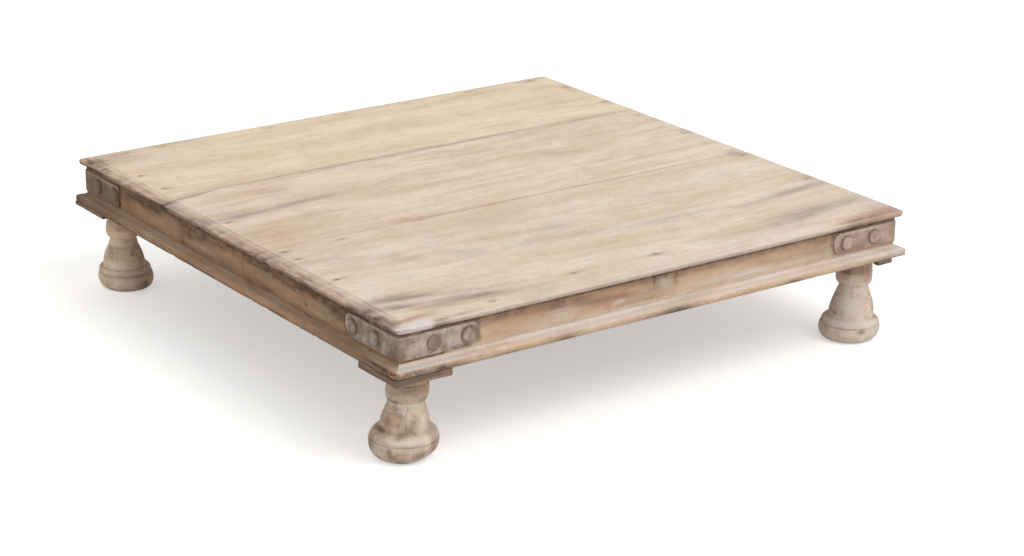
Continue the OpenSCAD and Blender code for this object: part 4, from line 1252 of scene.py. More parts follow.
@dataclass
class TurnedLeg:
    """One turned leg with its tenon, revolved about its own axis. Turned sizes in millimetres."""

    name: str
    layout: Layout
    seed: int
    shape: LegShape
    cracks: tuple[Crack, ...]
    columns: int = 352
    groove: float = 1.2
    vase_step: float = 0.8
    vase_power: float = 1.8
    collar_r: float = 23
    collar_h: float = 22
    tenon_r: float = 12.5
    lean_bearing: float = -36
    lean_z: tuple[float, float, float] = (0, 56, 112)

    def levels(self) -> tuple[float, ...]:
        """Heights at which shoulder, vase, neck, bead and collar begin.

        Returns:
            Those heights in millimetres.
        """
        shape = self.shape
        shoulder = shape.foot_h + self.groove
        collar = self.layout.moulding_z / MM - self.collar_h
        bead = collar - shape.bead_h
        return shoulder, shoulder + shape.shoulder_h, bead - shape.neck_h, bead, collar

    def profile(self, stand: float, tenon_top: float) -> Array:
        """The turned profile as radius and height, from the sole to the tenon's end.

        Oval arcs for the foot, shoulder and bead, a power curve for the bell-shaped vase, a cosine
        curve for the neck, and small cut grooves between them.

        Args:
            stand: height at which the collar ends and the tenon begins.
            tenon_top: height of the tenon's end.
        Returns:
            Rows of radius and height.
        """
        shape = self.shape
        shoulder, ledge, neck, bead, collar = self.levels()
        base, foot, thin, ball, lip = (d / 2 for d in (shape.base_d, shape.foot_d, shape.neck_d,
                                                       shape.bead_d, shape.vase_top_d))
        vase, cut, middle = foot - shape.vase_in, foot - shape.taper, bead + shape.bead_h / 2

        def arc(r: float, z: float, half_r: float, half_z: float, a0: float, a1: float,
                count: int) -> Array:
            """An oval arc about a centre, between two angles in degrees."""
            turn = np.radians(np.linspace(a0, a1, count + 1))
            return np.stack([r + half_r * np.cos(turn), z + half_z * np.sin(turn)], axis=-1)

        def sweep(r0: float, z0: float, r1: float, z1: float, count: int,
                  bend: Callable[[Array], Array]) -> Array:
            """A curve whose radius follows a bend of the way up, without its first point."""
            way = np.linspace(0, 1, count + 1)[1:]
            return np.stack([r0 + (r1 - r0) * bend(way), z0 + (z1 - z0) * way], axis=-1)

        curl = arc(vase + shape.ledge, shoulder, cut - self.groove / 3 - vase - shape.ledge,
                   shape.shoulder_h, 0, 90, 13)
        curl[:, 0] = np.maximum(curl[:, 0], vase)
        cuts = np.array([[-0.4, 0.2], [-1.0, 0.5], [-0.7, 0.8]]) * self.groove + [cut, shape.foot_h]
        step, tenon = self.vase_step, self.tenon_r
        return np.concatenate([
            np.stack([np.linspace(0.5, base - 0.7, 14), np.zeros(14)], axis=-1),
            arc(base, shape.full_z, foot - base, shape.full_z, -90, 0, 18),
            sweep(foot, shape.full_z, cut, shape.foot_h, 7, lambda way: way ** 2),
            cuts, curl, [[vase, ledge + 0.1]],
            sweep(vase, ledge + 0.1, lip, neck, 26, lambda way: way ** self.vase_power),
            [[lip - 0.3 * step, neck + 0.35 * step], [lip - step, neck + step]],
            sweep(lip - step, neck + step, thin, bead, 9, lambda way: (1 - np.cos(np.pi * way)) / 2),
            arc(thin, middle, ball - thin, shape.bead_h / 2, -80, 0, 14),
            arc(self.collar_r, middle, ball - self.collar_r, shape.bead_h / 2, 9, 90, 8),
            np.stack([np.full(12, self.collar_r), np.linspace(collar + 0.6, stand, 12)], axis=-1),
            [[tenon, stand], [tenon, (stand + tenon_top) / 2], [tenon, tenon_top - 1],
             [tenon - 1, tenon_top]],
        ])

    def build(self, material: Material) -> None:
        """Makes the leg: revolved profile, out-of-round wear, splits, knocks, lean and marks.

        Args:
            material: its finish.
        """
        shape = self.shape
        low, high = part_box(self.name)
        centre = np.array([(low.x + high.x) / 2, (low.y + high.y) / 2])
        pad = self.name.replace("_leg", "_pad")
        stand = (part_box(pad)[0].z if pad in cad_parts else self.layout.moulding_z) / MM
        radius, z = self.profile(stand, high.z / MM).T[..., None] * MM
        degrees = np.arange(self.columns) * 360 / self.columns
        turn = np.radians(degrees)
        angle, z = np.broadcast_arrays(degrees, z)
        around = np.stack([np.cos(turn), np.sin(turn)], axis=-1)
        flat = np.concatenate([around * radius[..., None], z[..., None]], axis=-1)
        below = smooth(stand * MM + 1e-5, (stand - 4) * MM, z)
        body = smooth(2 * MM, 8 * MM, radius - self.tenon_r * MM) * below
        worn = (0.18 * (1 + Noise(self.seed).rough(flat, (0.05, 0.05, 0.04), 2))
                + 0.13 * (1 + Noise(self.seed).rough(flat, (0.012, 0.012, 0.02))))
        knocks = smooth(0.4, 0.75, Noise(self.seed + 5).rough(flat, (0.016, 0.016, 0.01), 3))
        knocks = knocks * sum(bell(z - at * MM, 3.5 * MM) for at in (1, shape.foot_h))
        splits = [crack.at(angle, z, np.maximum(radius, 1 * MM)) for crack in self.cracks]
        cut = sum(crack.depth * split for crack, split in zip(self.cracks, splits))
        dark = np.max([crack.dark * split for crack, split in zip(self.cracks, splits)], axis=0)
        grown = np.maximum(radius - MM * (worn + 1.1 * knocks + cut) * body, 0.3 * MM)
        # The lean: a parabola through its offsets at the floor, at mid height and at the moulding
        side = math.radians(self.lean_bearing)
        shift = np.polyval(np.polyfit(np.array(self.lean_z) * MM, shape.lean, 2), z) * MM
        shift = np.where(radius > (self.tenon_r + 0.1) * MM, shift, shift * below)
        lean = shift[..., None] * np.array([math.cos(side), math.sin(side)])
        lifted = (shape.sole_lift * MM * smooth(0.1, 1.0, np.cos(turn - side))
                  * smooth(shape.full_z * MM, 0, z) * smooth(0.35, 1.0, radius * 2 / (shape.base_d * MM)))
        shell = Shell(np.concatenate([around * grown[..., None] + lean + centre,
                                      (z + lifted)[..., None]], axis=-1))
        shell.marks = self.paint(flat, angle, dark, knocks)
        place([shell], f"{self.name}_turned", material, [self.name])

    def paint(self, flat: Array, angle: Array, cracks: Array, knocks: Array) -> dict[str, Array]:
        """Marks on the leg: darker cut grooves, dark splits, painted shade on the collar under the
        moulding, grey and warm patches, pale worn rims.

        Args:
            flat: the leg's points before wear.
            angle: their bearings in degrees.
            cracks: how dark the splits are there.
            knocks: how knocked the rims are.
        Returns:
            The marks by name.
        """
        z = flat[..., 2] / MM
        patch, cloud = (Noise(self.seed + n).rough(flat, (0.03, 0.03, 0.045)) for n in (11, 17))
        spots = smooth(0.35, 0.6, Noise(self.seed + 13).rough(flat, (0.011, 0.011, 0.008), 3))
        clouds = smooth(-0.1, 0.5, Noise(self.seed + 19).rough(flat, (0.02, 0.02, 0.014)))
        reddish, chalky = (smooth(0.2, 0.55, Noise(self.seed + n).rough(flat, (0.008, 0.008, 0.006), 3))
                           for n in (23, 29))
        shoulder, ledge, neck, bead, collar = self.levels()
        grooves = sum(strength * bell(z - at, 1.2) for at, strength in (
            (shoulder - 0.5, 0.32), (ledge, 0.26), (neck + 0.6, 0.22), (bead + 0.5, 0.25),
            (collar, 0.35)))
        rims = sum(bell(z - at, 4.5) for at in (14, shoulder + 5))
        # Darker cut grooves and sole, and painted shade on the top of the collar, under the moulding
        base = {
            DIRT: grooves * smooth(-0.6, 0.3, patch) + cracks + 0.4 * spots + 0.14 * clouds
            + 0.25 * smooth(100, 111, z) + 0.25 * smooth(5, 1, z),
            PALE: 0.45 * rims * smooth(-0.3, 0.4, -patch) + 0.4 * knocks + 0.25 * (1 - clouds)
            + 0.45 * chalky,
            GREY: 0.45 * smooth(0.1, 0.6, patch),
            WARM: 0.6 * smooth(-0.1, 0.5, cloud) + 0.6 * reddish,
        }
        return painted(base, self.name, angle + 6 * cloud, z + 2 * patch)


@dataclass
class Ironwork:
    """What a strap and its nails share: whose corner they are on and where the nails go in."""

    name: str
    layout: Layout
    sign_x: int
    sign_y: int
    seed: int
    insets: tuple[float, float]


@dataclass
class Strap(Ironwork):
    """A bent iron strap round one corner of the frame, beaten and rounded at its ends."""

    end_r: tuple[float, float] = (11 * MM, 11 * MM)
    rusty: float = 0.0
    bend_r: float = 3 * MM
    edge_r: float = 0.8 * MM
    nominal_w: float = 28.5 * MM
    ring_r: float = 10.3 * MM
    arm_steps: int = 64
    end_ways_mm: tuple[float, ...] = (0, 0.15, 0.5, 1.1, 1.9, 2.9)

    def section(self) -> tuple[Array, Array]:
        """The strap's section: depth behind its face, and height as a share of its width.

        The face's two edges are quarter circles, beaten round; the back is flat.

        Returns:
            Depths, and shares of the width.
        """
        share = np.array([0, 0.6, 1.5, 3, 5, 8, 11, 14]) * MM / self.nominal_w
        share = np.concatenate([share, 1 - share[::-1]])
        near = np.clip(1 - np.minimum(share, 1 - share) * self.nominal_w / self.edge_r, 0, 1)
        drop = self.edge_r * (1 - np.sqrt(1 - near ** 2))
        behind = np.linspace(1, 0, 7)
        return (np.concatenate([-drop, np.full(7, -self.layout.strap_t)]),
                np.concatenate([share, behind]))

    def build(self, material: Material) -> None:
        """Makes the strap: a flat section carried along one arm, round the bend and back.

        The height of the section shrinks along a circle at both ends, its edges wander a little
        and its face is beaten in shallow hollows.

        Args:
            material: its finish.
        """
        lay = self.layout
        low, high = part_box(self.name)
        length = high.x - low.x - lay.strap_t
        arm = length - self.bend_r + lay.strap_t
        quarter = math.pi / 2 * self.bend_r
        total = 2 * arm + quarter
        half = np.concatenate([np.array(self.end_ways_mm) * MM,
                               np.linspace(4 * MM, arm, self.arm_steps),
                               arm + np.linspace(0, quarter / 2, 5)[1:]])
        way = np.concatenate([half, (total - half[::-1])[1:]])
        end = np.minimum(way, total - way)
        turn = np.clip((way - arm) / self.bend_r, 0, math.pi / 2)
        corner = np.array([lay.face_x, lay.face_y]) + lay.strap_t - self.bend_r
        before, after = np.clip(arm - way, 0, None), np.clip(way - arm - quarter, 0, None)
        centre = corner - np.stack([before, after], axis=-1)
        normal = np.stack([np.sin(turn), np.cos(turn)], axis=-1)
        line = np.stack([way, np.zeros_like(way), np.full_like(way, self.seed)], axis=-1)
        foot, head = (
            edge + inwards * (radius - np.sqrt(np.maximum(
                radius ** 2 - np.clip(radius - end, 0, None) ** 2, 0))
                + 0.35 * MM * (1 + Noise(self.seed + n).rough(line, (0.03, 1, 1), 3)))
            for n, (edge, inwards, radius) in enumerate(zip(lay.strap_z, (1, -1), self.end_r)))
        across, rise = self.section()
        xy = centre[:, None, :] + normal[:, None, :] * (self.bend_r + across)[None, :, None]
        z = foot[:, None] + (head - foot)[:, None] * rise
        flat = np.concatenate([xy, z[..., None]], axis=-1)
        beaten = 0.22 * (1 + Noise(self.seed + 2).rough(flat, (0.012, 0.012, 0.010), 3))
        beaten += 0.3 * smooth(0.35, 0.8, Noise(self.seed + 3).rough(flat, (0.005,) * 3, 3))
        depth = MM * beaten * smooth(-lay.strap_t, -0.3 * lay.strap_t, across)
        worn = np.concatenate([xy - normal[:, None, :] * depth[..., None], z[..., None]], axis=-1)
        shell = Shell(worn * [self.sign_x, self.sign_y, 1])
        shell.marks = self.paint(flat, way - total / 2, length - end[:, None], z - foot[:, None],
                                 head[:, None] - z)
        place([shell], f"{self.name}_beaten", material, [self.name])

    def paint(self, flat: Array, along: Array, inset: Array, above: Array,
              under: Array) -> dict[str, Array]:
        """Marks on the strap: rust round the nails, darker along the foot, and a painted highlight with
        worn metal along the upper edge.

        Args:
            flat: the strap's points.
            along: places along the strap, from its bend.
            inset: distances along an arm from the frame's corner.
            above: heights over the strap's lower edge.
            under: drops below its upper edge.
        Returns:
            The marks by name.
        """
        z = flat[..., 2]
        patch = Noise(self.seed + 4).rough(flat, (0.025, 0.025, 0.018))
        rings = sum(bell(np.hypot(inset - at, z - sum(self.layout.strap_z) / 2) - self.ring_r, 2.2 * MM)
                    for at in self.insets)
        # Darker along the lower edge; along the upper edge, a painted highlight with worn metal
        foot, head = fade(above, 1.8 * MM), fade(under, 2.2 * MM)
        fleck = smooth(0.15, 0.4, Noise(self.seed + 6).rough(flat, (0.02, 0.02, 0.009)))
        rust = self.rusty + 0.15 + 0.7 * patch + 0.5 * rings + 0.5 * foot
        rubbed = 0.35 * fleck + 0.3 * smooth(0, 0.6, -patch) + 0.4 * head * (1 - foot)
        return painted({RUST: np.clip(rust, 0, 1), RUBBED: np.clip(rubbed, 0, 1)},
                       self.name, along[:, None] / MM, z / MM)


@dataclass
class DomedNails(Ironwork):
    """The four hand-made nails of one strap, each with a domed head and a shank in the rail."""

    swell: tuple[float, ...] = (1.0, 1.0, 1.0, 1.0)
    columns: int = 48
    head_r: float = 9.5 * MM
    rise: float = 4.6 * MM
    rim: float = 0.6 * MM
    shank_r: float = 2.25 * MM
    shank_l: float = 14 * MM

    def one(self, centre: Array, out: Array, number: int) -> Shell:
        """One nail: a dome profile turned round the axis out, its rim and crown beaten uneven.

        Args:
            centre: where the axis meets the strap's face.
            out: unit vector out of the strap.
            number: which nail it is, for its own shape.
        Returns:
            The nail's shell.
        """
        turn = np.radians(np.linspace(0, 90, 15))[:-1]
        rise = self.rise * self.swell[number]
        tip = -self.layout.strap_t - self.shank_l
        radius, height = np.concatenate([
            [[0.3 * MM, tip], [self.shank_r * 0.6, tip + 2 * MM], [self.shank_r, tip + 4 * MM],
             [self.shank_r, -0.4 * MM], [self.head_r * 0.94, -0.4 * MM], [self.head_r, 0.1 * MM]],
            np.stack([self.head_r * np.cos(turn), self.rim + rise * np.sin(turn) ** 1.15], axis=-1),
            [[0.4 * MM, self.rim + rise]]]).T[..., None]
        angle = np.linspace(0, 2 * math.pi, self.columns, endpoint=False)
        height = np.repeat(height, self.columns, axis=1)
        up = np.array([0.0, 0.0, 1.0])
        ring = np.cos(angle)[:, None] * np.cross(out, up) + np.sin(angle)[:, None] * up
        noise = Noise(self.seed + 7 * number)
        flat = np.stack([radius * np.cos(angle), radius * np.sin(angle), height], axis=-1)
        uneven = 1 - 0.04 * (1 + noise.rough(flat, (0.012, 0.012, 0.02), 2)) * (height > -0.5 * MM)
        crown = 1 - 0.1 * (1 + noise.rough(flat, (0.006, 0.006, 0.01), 3)) * (height > 0.8 * MM)
        patch = noise.rough(flat, (0.008, 0.008, 0.008), 3)
        edge = smooth(0.72, 1.0, radius / self.head_r)
        flatness = 1.3 * (1 - self.swell[number])
        # A lighter crown, a painted highlight with worn metal, over a darker rim; a lower dome is darker
        # all over
        return Shell(
            centre + (radius * uneven)[..., None] * ring + (height * crown)[..., None] * out,
            painted({RUST: 0.25 + 0.6 * patch + 0.8 * edge + flatness,
                     RUBBED: 0.6 * (1 - edge) * smooth(-0.5, 0.5, -patch) - flatness}))

    def build(self, material: Material) -> None:
        """Makes the four nails, two on each arm of the strap.

        Args:
            material: its finish.
        """
        lay = self.layout
        signs = np.array([self.sign_x, self.sign_y, 1.0])
        shells = []
        for inset in self.insets:
            for out in (np.array([0.0, 1.0, 0.0]), np.array([1.0, 0.0, 0.0])):
                centre = [lay.face_x, lay.face_y, sum(lay.strap_z) / 2] + lay.strap_t * out
                centre = centre - inset * (1 - out) * [1, 1, 0]
                shells.append(self.one(centre * signs, out * signs, len(shells)))
        place(shells, f"{self.name}_beaten", material, [self.name])


@dataclass
class Hardware:
    """Straps, domed nails and the plain nails."""

    layout: Layout

    def build(self, irons: dict[str, Sequence[Material]], wooden: Material, rust: Material) -> None:
        """Makes each corner's strap and nails, and gives the plain nails their own finish.

        Args:
            irons: for each corner, the finishes of its strap and of its domed nails.
            wooden: finish of the board nails, worn flush with the wood.
            rust: finish of the nails that nobody sees.
        """
        # Corner, its signs, radii of the strap's lower and upper end corners and places of its nails in
        # millimetres, how high each dome has stayed, and how rusty the strap is; the back left strap, whose
        # arm faces left, is made rustier as painted shade too
        corners = (
            ("front_left", -1, -1, (13, 9), (45, 90), (0.5, 0.85, 1.0, 0.9), 0.0),
            ("front_right", 1, -1, (11, 11), (36, 81), (0.9, 1.0, 1.0, 0.9), 0.1),
            ("back_left", -1, 1, (4, 4), (36, 81), (0.75, 0.65, 0.8, 0.6), 0.45),
            ("back_right", 1, 1, (11, 11), (36, 81), (1.0, 0.9, 0.9, 1.0), 0.15),
        )
        for number, (corner, sign_x, sign_y, end_r, insets, swell, rusty) in enumerate(corners):
            strap, heads = irons[corner]
            insets, end_r = (tuple(size * MM for size in sizes) for sizes in (insets, end_r))
            Strap(f"{corner}_strap", self.layout, sign_x, sign_y, 201 + 20 * number, insets,
                  end_r, rusty).build(strap)
            DomedNails(f"{corner}_strap_nails", self.layout, sign_x, sign_y, 301 + 40 * number,
                       insets, swell).build(heads)
        give("board_nails", wooden)
        for name in ("moulding_nails", "batten_nails", "pad_nails"):
            give(name, rust)


def feed(tree: Tree, node: bpy.types.Node, inputs: dict[str | int, object]) -> None:
    """Sets or links a node's inputs.

    Args:
        tree: the node tree that the node is in.
        node: the node.
        inputs: for each input, by name or number, a plain value, a hex colour or another node's
            output.
    """
    for key, value in inputs.items():
        if isinstance(value, Socket):
            tree.links.new(value, node.inputs[key])
        else:
            node.inputs[key].default_value = linear(value) if isinstance(value, str) else value


def add(tree: Tree, kind: str, inputs: dict[str | int, object] | None = None,
        out: str | int = 0, **settings: object) -> Socket:
    """Adds a node with its settings, values and links.

    Args:
        tree: the node tree that it goes into.
        kind: the node's type after ShaderNode, such as Mix.
        inputs: its inputs, as feed takes them.
        out: the output that is given back, by name or number.
        settings: the node's own properties.
    Returns:
        That output.
    """
    node = tree.nodes.new(f"ShaderNode{kind}")
    for name, value in settings.items():
        setattr(node, name, value)
    feed(tree, node, inputs or {})
    return node.outputs[out]


@dataclass(frozen=True)
class Layer:
    """A tint laid over the colour below it, by a pattern, by one of the piece's marks or by both.

    Where the pattern rises from low to high, the tint's share goes from least to most. Without a
    pattern the share is most. A mark multiplies it.
    """

    tint: str
    pattern: Socket | None = None
    low: float = 0.0
    high: float = 1.0
    most: float = 1.0
    least: float = 0.0
    mark: Mark | None = None


def tinted(tree: Tree, colour: str, layers: Sequence[Layer]) -> Socket:
    """Lays tints over a ground colour, from the bottom up, and gives the last colour.

    Args:
        tree: the material's node tree.
        colour: the ground.
        layers: the tints, from the bottom up.
    Returns:
        The last colour.
    """
    for layer in layers:
        share = layer.most
        if layer.pattern is not None:
            share = add(tree, "MapRange", {0: layer.pattern, 1: layer.low, 2: layer.high,
                                           3: layer.least, 4: layer.most},
                        interpolation_type="SMOOTHSTEP")
        if layer.mark is not None:
            here = add(tree, "Attribute", out="Fac", attribute_name=layer.mark.value)
            share = add(tree, "Math", {0: here, 1: share}, operation="MULTIPLY")
        colour = add(tree, "Mix", {0: share, 6: colour, 7: layer.tint}, 2, data_type="RGBA")
    return colour


def raised(tree: Tree, depth_mm: float, patterns: Sequence[tuple[Socket, float]]) -> Socket:
    """Relief of a depth, from the sum of patterns that each have a weight.

    Args:
        tree: the material's node tree.
        depth_mm: the depth in millimetres.
        patterns: the patterns, each with its weight.
    Returns:
        The surface's normal.
    """
    height = 0.0
    for pattern, weight in patterns:
        height = add(tree, "Math", {0: pattern, 1: weight, 2: height}, operation="MULTIPLY_ADD")
    return add(tree, "Bump", {"Height": height, "Distance": depth_mm * MM, "Strength": 1.0})


@dataclass(frozen=True)
class Finish:
    """What all finishes share: a name, and a shader that each one fills in its own way."""

    name: str

    def build(self) -> Material:
        """Builds the material, which reads Object coordinates and the piece's own marks.

        Returns:
            The material.
        """
        material = bpy.data.materials.new(self.name)
        material.use_nodes = True
        tree = material.node_tree
        feed(tree, tree.nodes["Principled BSDF"], self.look(tree))
        return material

    def look(self, tree: Tree) -> dict[str | int, object]:
        """The inputs of the material's shader. Each finish has its own."""
        raise NotImplementedError


class Grain(Enum):
    """Which way a timber's grain runs, as the turn that lays it along the pattern's X."""

    ALONG_X = (0.0, 0.0, 0.0)
    ALONG_Y = (0.0, 0.0, -math.pi / 2)
    ALONG_Z = (0.0, math.pi / 2, 0.0)


@dataclass(frozen=True)
class WornTeak(Finish):
    """Old teak, planed or turned, bleached and scrubbed: dry, with raised grain and open pores.

    The eye sees a pale ground with soft brown growth lines, short dark pores, grey weather stains and grime
    that has settled in the hollows, with next to no shine. The pieces' marks also paint shade and
    highlights into it.
    """

    grain: Grain
    ground: str
    tan: str
    line: str
    pore: str = "6e5641"
    grey: str = "93857b"
    warm: str = "c59a7c"
    pale: str = "ddd5c9"
    dirt: str = "54402f"
    line_mm: float = 3.2
    streak_mm: float = 14.0
    pore_mm: float = 0.9
    stretch: float = 16.0
    roughness: float = 0.78
    line_strength: float = 0.45
    relief_mm: float = 0.2
    mottle: float = 0.3
    specks: float = 0.7
    speck_mm: float = 10.5
    fibre: float = 0.18

    def look(self, tree: Tree) -> dict[str | int, object]:
        """Grows the grain and lays the tints on it.

        Args:
            tree: the material's node tree.
        Returns:
            The inputs of the material's shader.
        """
        turned = add(tree, "Mapping", {0: add(tree, "TexCoord", out="Object"),
                                       "Rotation": self.grain.value})
        # The grain wavers a little across its run
        bent = add(tree, "TexNoise", {"Vector": turned, "Scale": 7.0, "Detail": 2.0}, "Color")
        for operation, value in (("SUBTRACT", (0.5, 0.5, 0.5)), ("MULTIPLY", (0.0, 0.03, 0.03)),
                                 ("ADD", turned)):
            bent = add(tree, "VectorMath", {0: bent, 1: value}, operation=operation)
        # Patterns drawn out along the grain: width in mm, length over width, detail and roughness
        patterns = []
        for width, stretch, detail, rough in (
                (self.streak_mm * 3, 5, 3.0, 0.55), (self.streak_mm, 9, 3.0, 0.55),
                (self.line_mm, self.stretch, 4.0, 0.65), (self.pore_mm, 22, 3.0, 0.6),
                (self.pore_mm * 0.8, 9, 1.0, 0.55)):
            scale = 1 / (width * MM)
            long = add(tree, "Mapping", {0: bent, "Scale": (scale / stretch, scale, scale)})
            patterns.append(add(tree, "TexNoise", {"Vector": long, "Scale": 1.0, "Detail": detail,
                                                   "Roughness": rough}, "Fac"))
        broad, streak, lines, fine, pores = patterns
        # Patterns that are as long as they are wide: scale, detail and roughness
        dry, *clouds = (add(tree, "TexNoise", {"Vector": turned, "Scale": scale, "Detail": detail,
                                               "Roughness": rough}, "Fac")
                        for scale, detail, rough in ((55.0, 5.0, 0.65), (23.0, 4.0, 0.6),
                                                     (38.0, 4.0, 0.6),
                                                     (1 / (self.speck_mm * MM), 4.0, 0.6)))
        holes = add(tree, "MapRange", {0: pores, 1: 0.66, 2: 0.76}, interpolation_type="SMOOTHSTEP")
        # The last layer lays grime and painted shade, and the pale one also painted highlights, as the
        # piece's marks say
        colour = tinted(tree, self.ground, (
            Layer(self.tan, broad, 0.36, 0.66),
            Layer(self.line, streak, 0.42, 0.7, 0.4),
            Layer(self.line, lines, 0.48, 0.74, self.line_strength),
            Layer(self.pore, fine, 0.45, 0.75, self.fibre),
            Layer(self.pale, dry, 0.5, 0.72, 0.22),
            Layer(self.grey, clouds[0], 0.45, 0.8, self.mottle),
            Layer(self.line, clouds[1], 0.45, 0.8, self.mottle),
            Layer(self.pore, clouds[2], 0.45, 0.8, self.mottle * self.specks),
            Layer(self.warm, streak, 0.3, 0.62, 0.8625, 0.3375, WARM),
            Layer(self.grey, lines, 0.3, 0.66, 0.8925, 0.527, GREY),
            Layer(self.pale, most=0.85, mark=PALE),
            Layer(self.pore, pores, 0.66, 0.76, 0.4),
            Layer(self.dirt, dry, 0.3, 0.6, 0.99, 0.63, DIRT)))
        rough = add(tree, "MapRange", {0: lines, 1: 0.3, 2: 0.7, 3: self.roughness - 0.06,
                                       4: self.roughness + 0.08}, interpolation_type="SMOOTHSTEP")
        relief = raised(tree, self.relief_mm,
                        ((lines, -0.6), (fine, -0.5), (holes, -0.7), (dry, 0.25)))
        return {"Base Color": colour, "Roughness": rough, "Normal": relief, "IOR": 1.45,
                "Specular IOR Level": 0.3}


@dataclass(frozen=True)
class BeatenIron(Finish):
    """Iron beaten by hand and left to brown: dull oxide with rubbed high spots.

    The eye sees a grey-brown skin, close to the wood's own colour, with rust in the hollows and a faint
    gleam where hands have worn it. The marks also paint shade into the rust and highlights into the worn
    spots.
    """

    skin: str
    rust: str
    rubbed: str
    dark: str = "3c332d"
    pit_mm: float = 2.2
    blotch_mm: float = 50 / 3
    roughness: float = 0.62
    relief_mm: float = 0.25

    def look(self, tree: Tree) -> dict[str | int, object]:
        """Lays rust and painted shade, worn spots and painted highlights, and pits on the skin.

        Args:
            tree: the material's node tree.
        Returns:
            The inputs of the material's shader.
        """
        here = add(tree, "TexCoord", out="Object")
        pits, blotch = (add(tree, "TexNoise", {"Vector": here, "Scale": 1 / (width * MM),
                                               "Detail": 4.0, "Roughness": 0.6}, "Fac")
                        for width in (self.pit_mm, self.blotch_mm))
        colour = tinted(tree, self.skin, (
            Layer(self.rust, blotch, 0.35, 0.65),
            Layer(self.rust, most=0.75, mark=RUST),
            Layer(self.rubbed, most=0.8, mark=RUBBED),
            Layer(self.dark, pits, 0.5, 0.75, 0.22)))
        rough = add(tree, "MapRange", {0: pits, 1: 0.3, 2: 0.7, 3: self.roughness - 0.1,
                                       4: self.roughness + 0.15}, interpolation_type="SMOOTHSTEP")
        relief = raised(tree, self.relief_mm, ((pits, 0.7), (blotch, 0.5)))
        return {"Base Color": colour, "Roughness": rough, "Normal": relief, "Metallic": 0.25}


def seen_as_is(tree: Tree) -> Socket:
    """1 for the rays that show a thing as it is: the camera's, mirrored and let-through ones.

    Args:
        tree: the node tree that asks.
    Returns:
        1 or 0 for each ray.
    """
    shown = 0.0
    for ray in ("Is Camera Ray", "Is Glossy Ray", "Is Transmission Ray"):
        here = add(tree, "LightPath", out=ray)
        shown = add(tree, "Math", {0: here, 1: shown}, operation="MAXIMUM")
    return shown


@dataclass
class Studio:
    """Plain pale floor, soft light and the photograph's camera."""

    camera_at: tuple[float, float, float] = (-1.8035, -2.5458, 1.1609)
    yaw: float = -0.6294
    pitch: float = 0.3439
    roll: float = 0.0151
    lens_mm: float = 90.86
    sensor_mm: float = 36.0
    sky: float = 0.72
    lamp_watts: float = 50.0
    lamp_size: float = 2.4
    lamp_at: tuple[float, float, float] = (0.8, -2.2, 3.0)
    floor_glow: float = 0.45
    floor_rings: tuple[float, ...] = (0.001, 0.6, 1.5, 4.0, 12.0, 40.0)
    floor_columns: int = 72

    def camera(self) -> None:
        """Sets the camera where the photograph was taken from: turned, then tilted, then rolled."""
        data = bpy.data.cameras.new("camera")
        data.lens, data.sensor_width, data.sensor_fit = self.lens_mm, self.sensor_mm, "HORIZONTAL"
        camera = bpy.data.objects.new("camera", data)
        bpy.context.scene.collection.objects.link(camera)
        turn = (Matrix.Rotation(self.yaw, 4, "Z") @ Matrix.Rotation(math.pi / 2 - self.pitch, 4, "X")
                @ Matrix.Rotation(self.roll, 4, "Z"))
        camera.matrix_world = Matrix.Translation(self.camera_at) @ turn
        bpy.context.scene.camera = camera

    def floor(self) -> None:
        """Lays a wide pale floor: a disc of rings on a grid, whitened only for the camera's rays."""
        turn = np.linspace(0, 2 * math.pi, self.floor_columns, endpoint=False)
        around = np.stack([np.cos(turn), np.sin(turn), 0 * turn], axis=-1)
        points = np.array(self.floor_rings)[:, None, None] * around
        index = np.arange(points[..., 0].size).reshape(points.shape[:2])
        onward = np.roll(index, -1, axis=1)
        quads = np.stack([index[:-1], index[1:], onward[1:], onward[:-1]], axis=-1)
        mesh = bpy.data.meshes.new("floor")
        mesh.from_pydata(points.reshape(-1, 3).tolist(), [], quads.reshape(-1, 4).tolist())
        floor = bpy.data.objects.new("floor", mesh)
        bpy.context.scene.collection.objects.link(floor)
        material = bpy.data.materials.new("pale_studio_floor")
        material.use_nodes = True
        tree = material.node_tree
        tree.nodes.remove(tree.nodes["Principled BSDF"])
        paint = add(tree, "BsdfDiffuse", {"Color": "e9e7e4"})
        glow = add(tree, "Emission", {"Color": "ffffff", "Strength": self.floor_glow})
        both = add(tree, "AddShader", {0: paint, 1: glow})
        seen = add(tree, "MixShader", {0: seen_as_is(tree), 1: paint, 2: both})
        feed(tree, tree.nodes["Material Output"], {"Surface": seen})
        mesh.materials.append(material)

    def light(self) -> None:
        """Lights the table: an even sky and one large soft lamp high on the front right."""
        world = bpy.data.worlds.new("sky")
        bpy.context.scene.world = world
        world.use_nodes = True
        tree = world.node_tree
        strength = add(tree, "Mix", {0: seen_as_is(tree), 2: self.sky, 3: 1.0}, data_type="FLOAT")
        feed(tree, tree.nodes["Background"], {"Color": "ffffff", "Strength": strength})
        data = bpy.data.lights.new("soft_lamp", "AREA")
        data.shape, data.size, data.energy = "DISK", self.lamp_size, self.lamp_watts
        lamp = bpy.data.objects.new("soft_lamp", data)
        bpy.context.scene.collection.objects.link(lamp)
        lamp.location = self.lamp_at
        lamp.rotation_euler = (-Vector(self.lamp_at)).to_track_quat("-Z", "Y").to_euler()


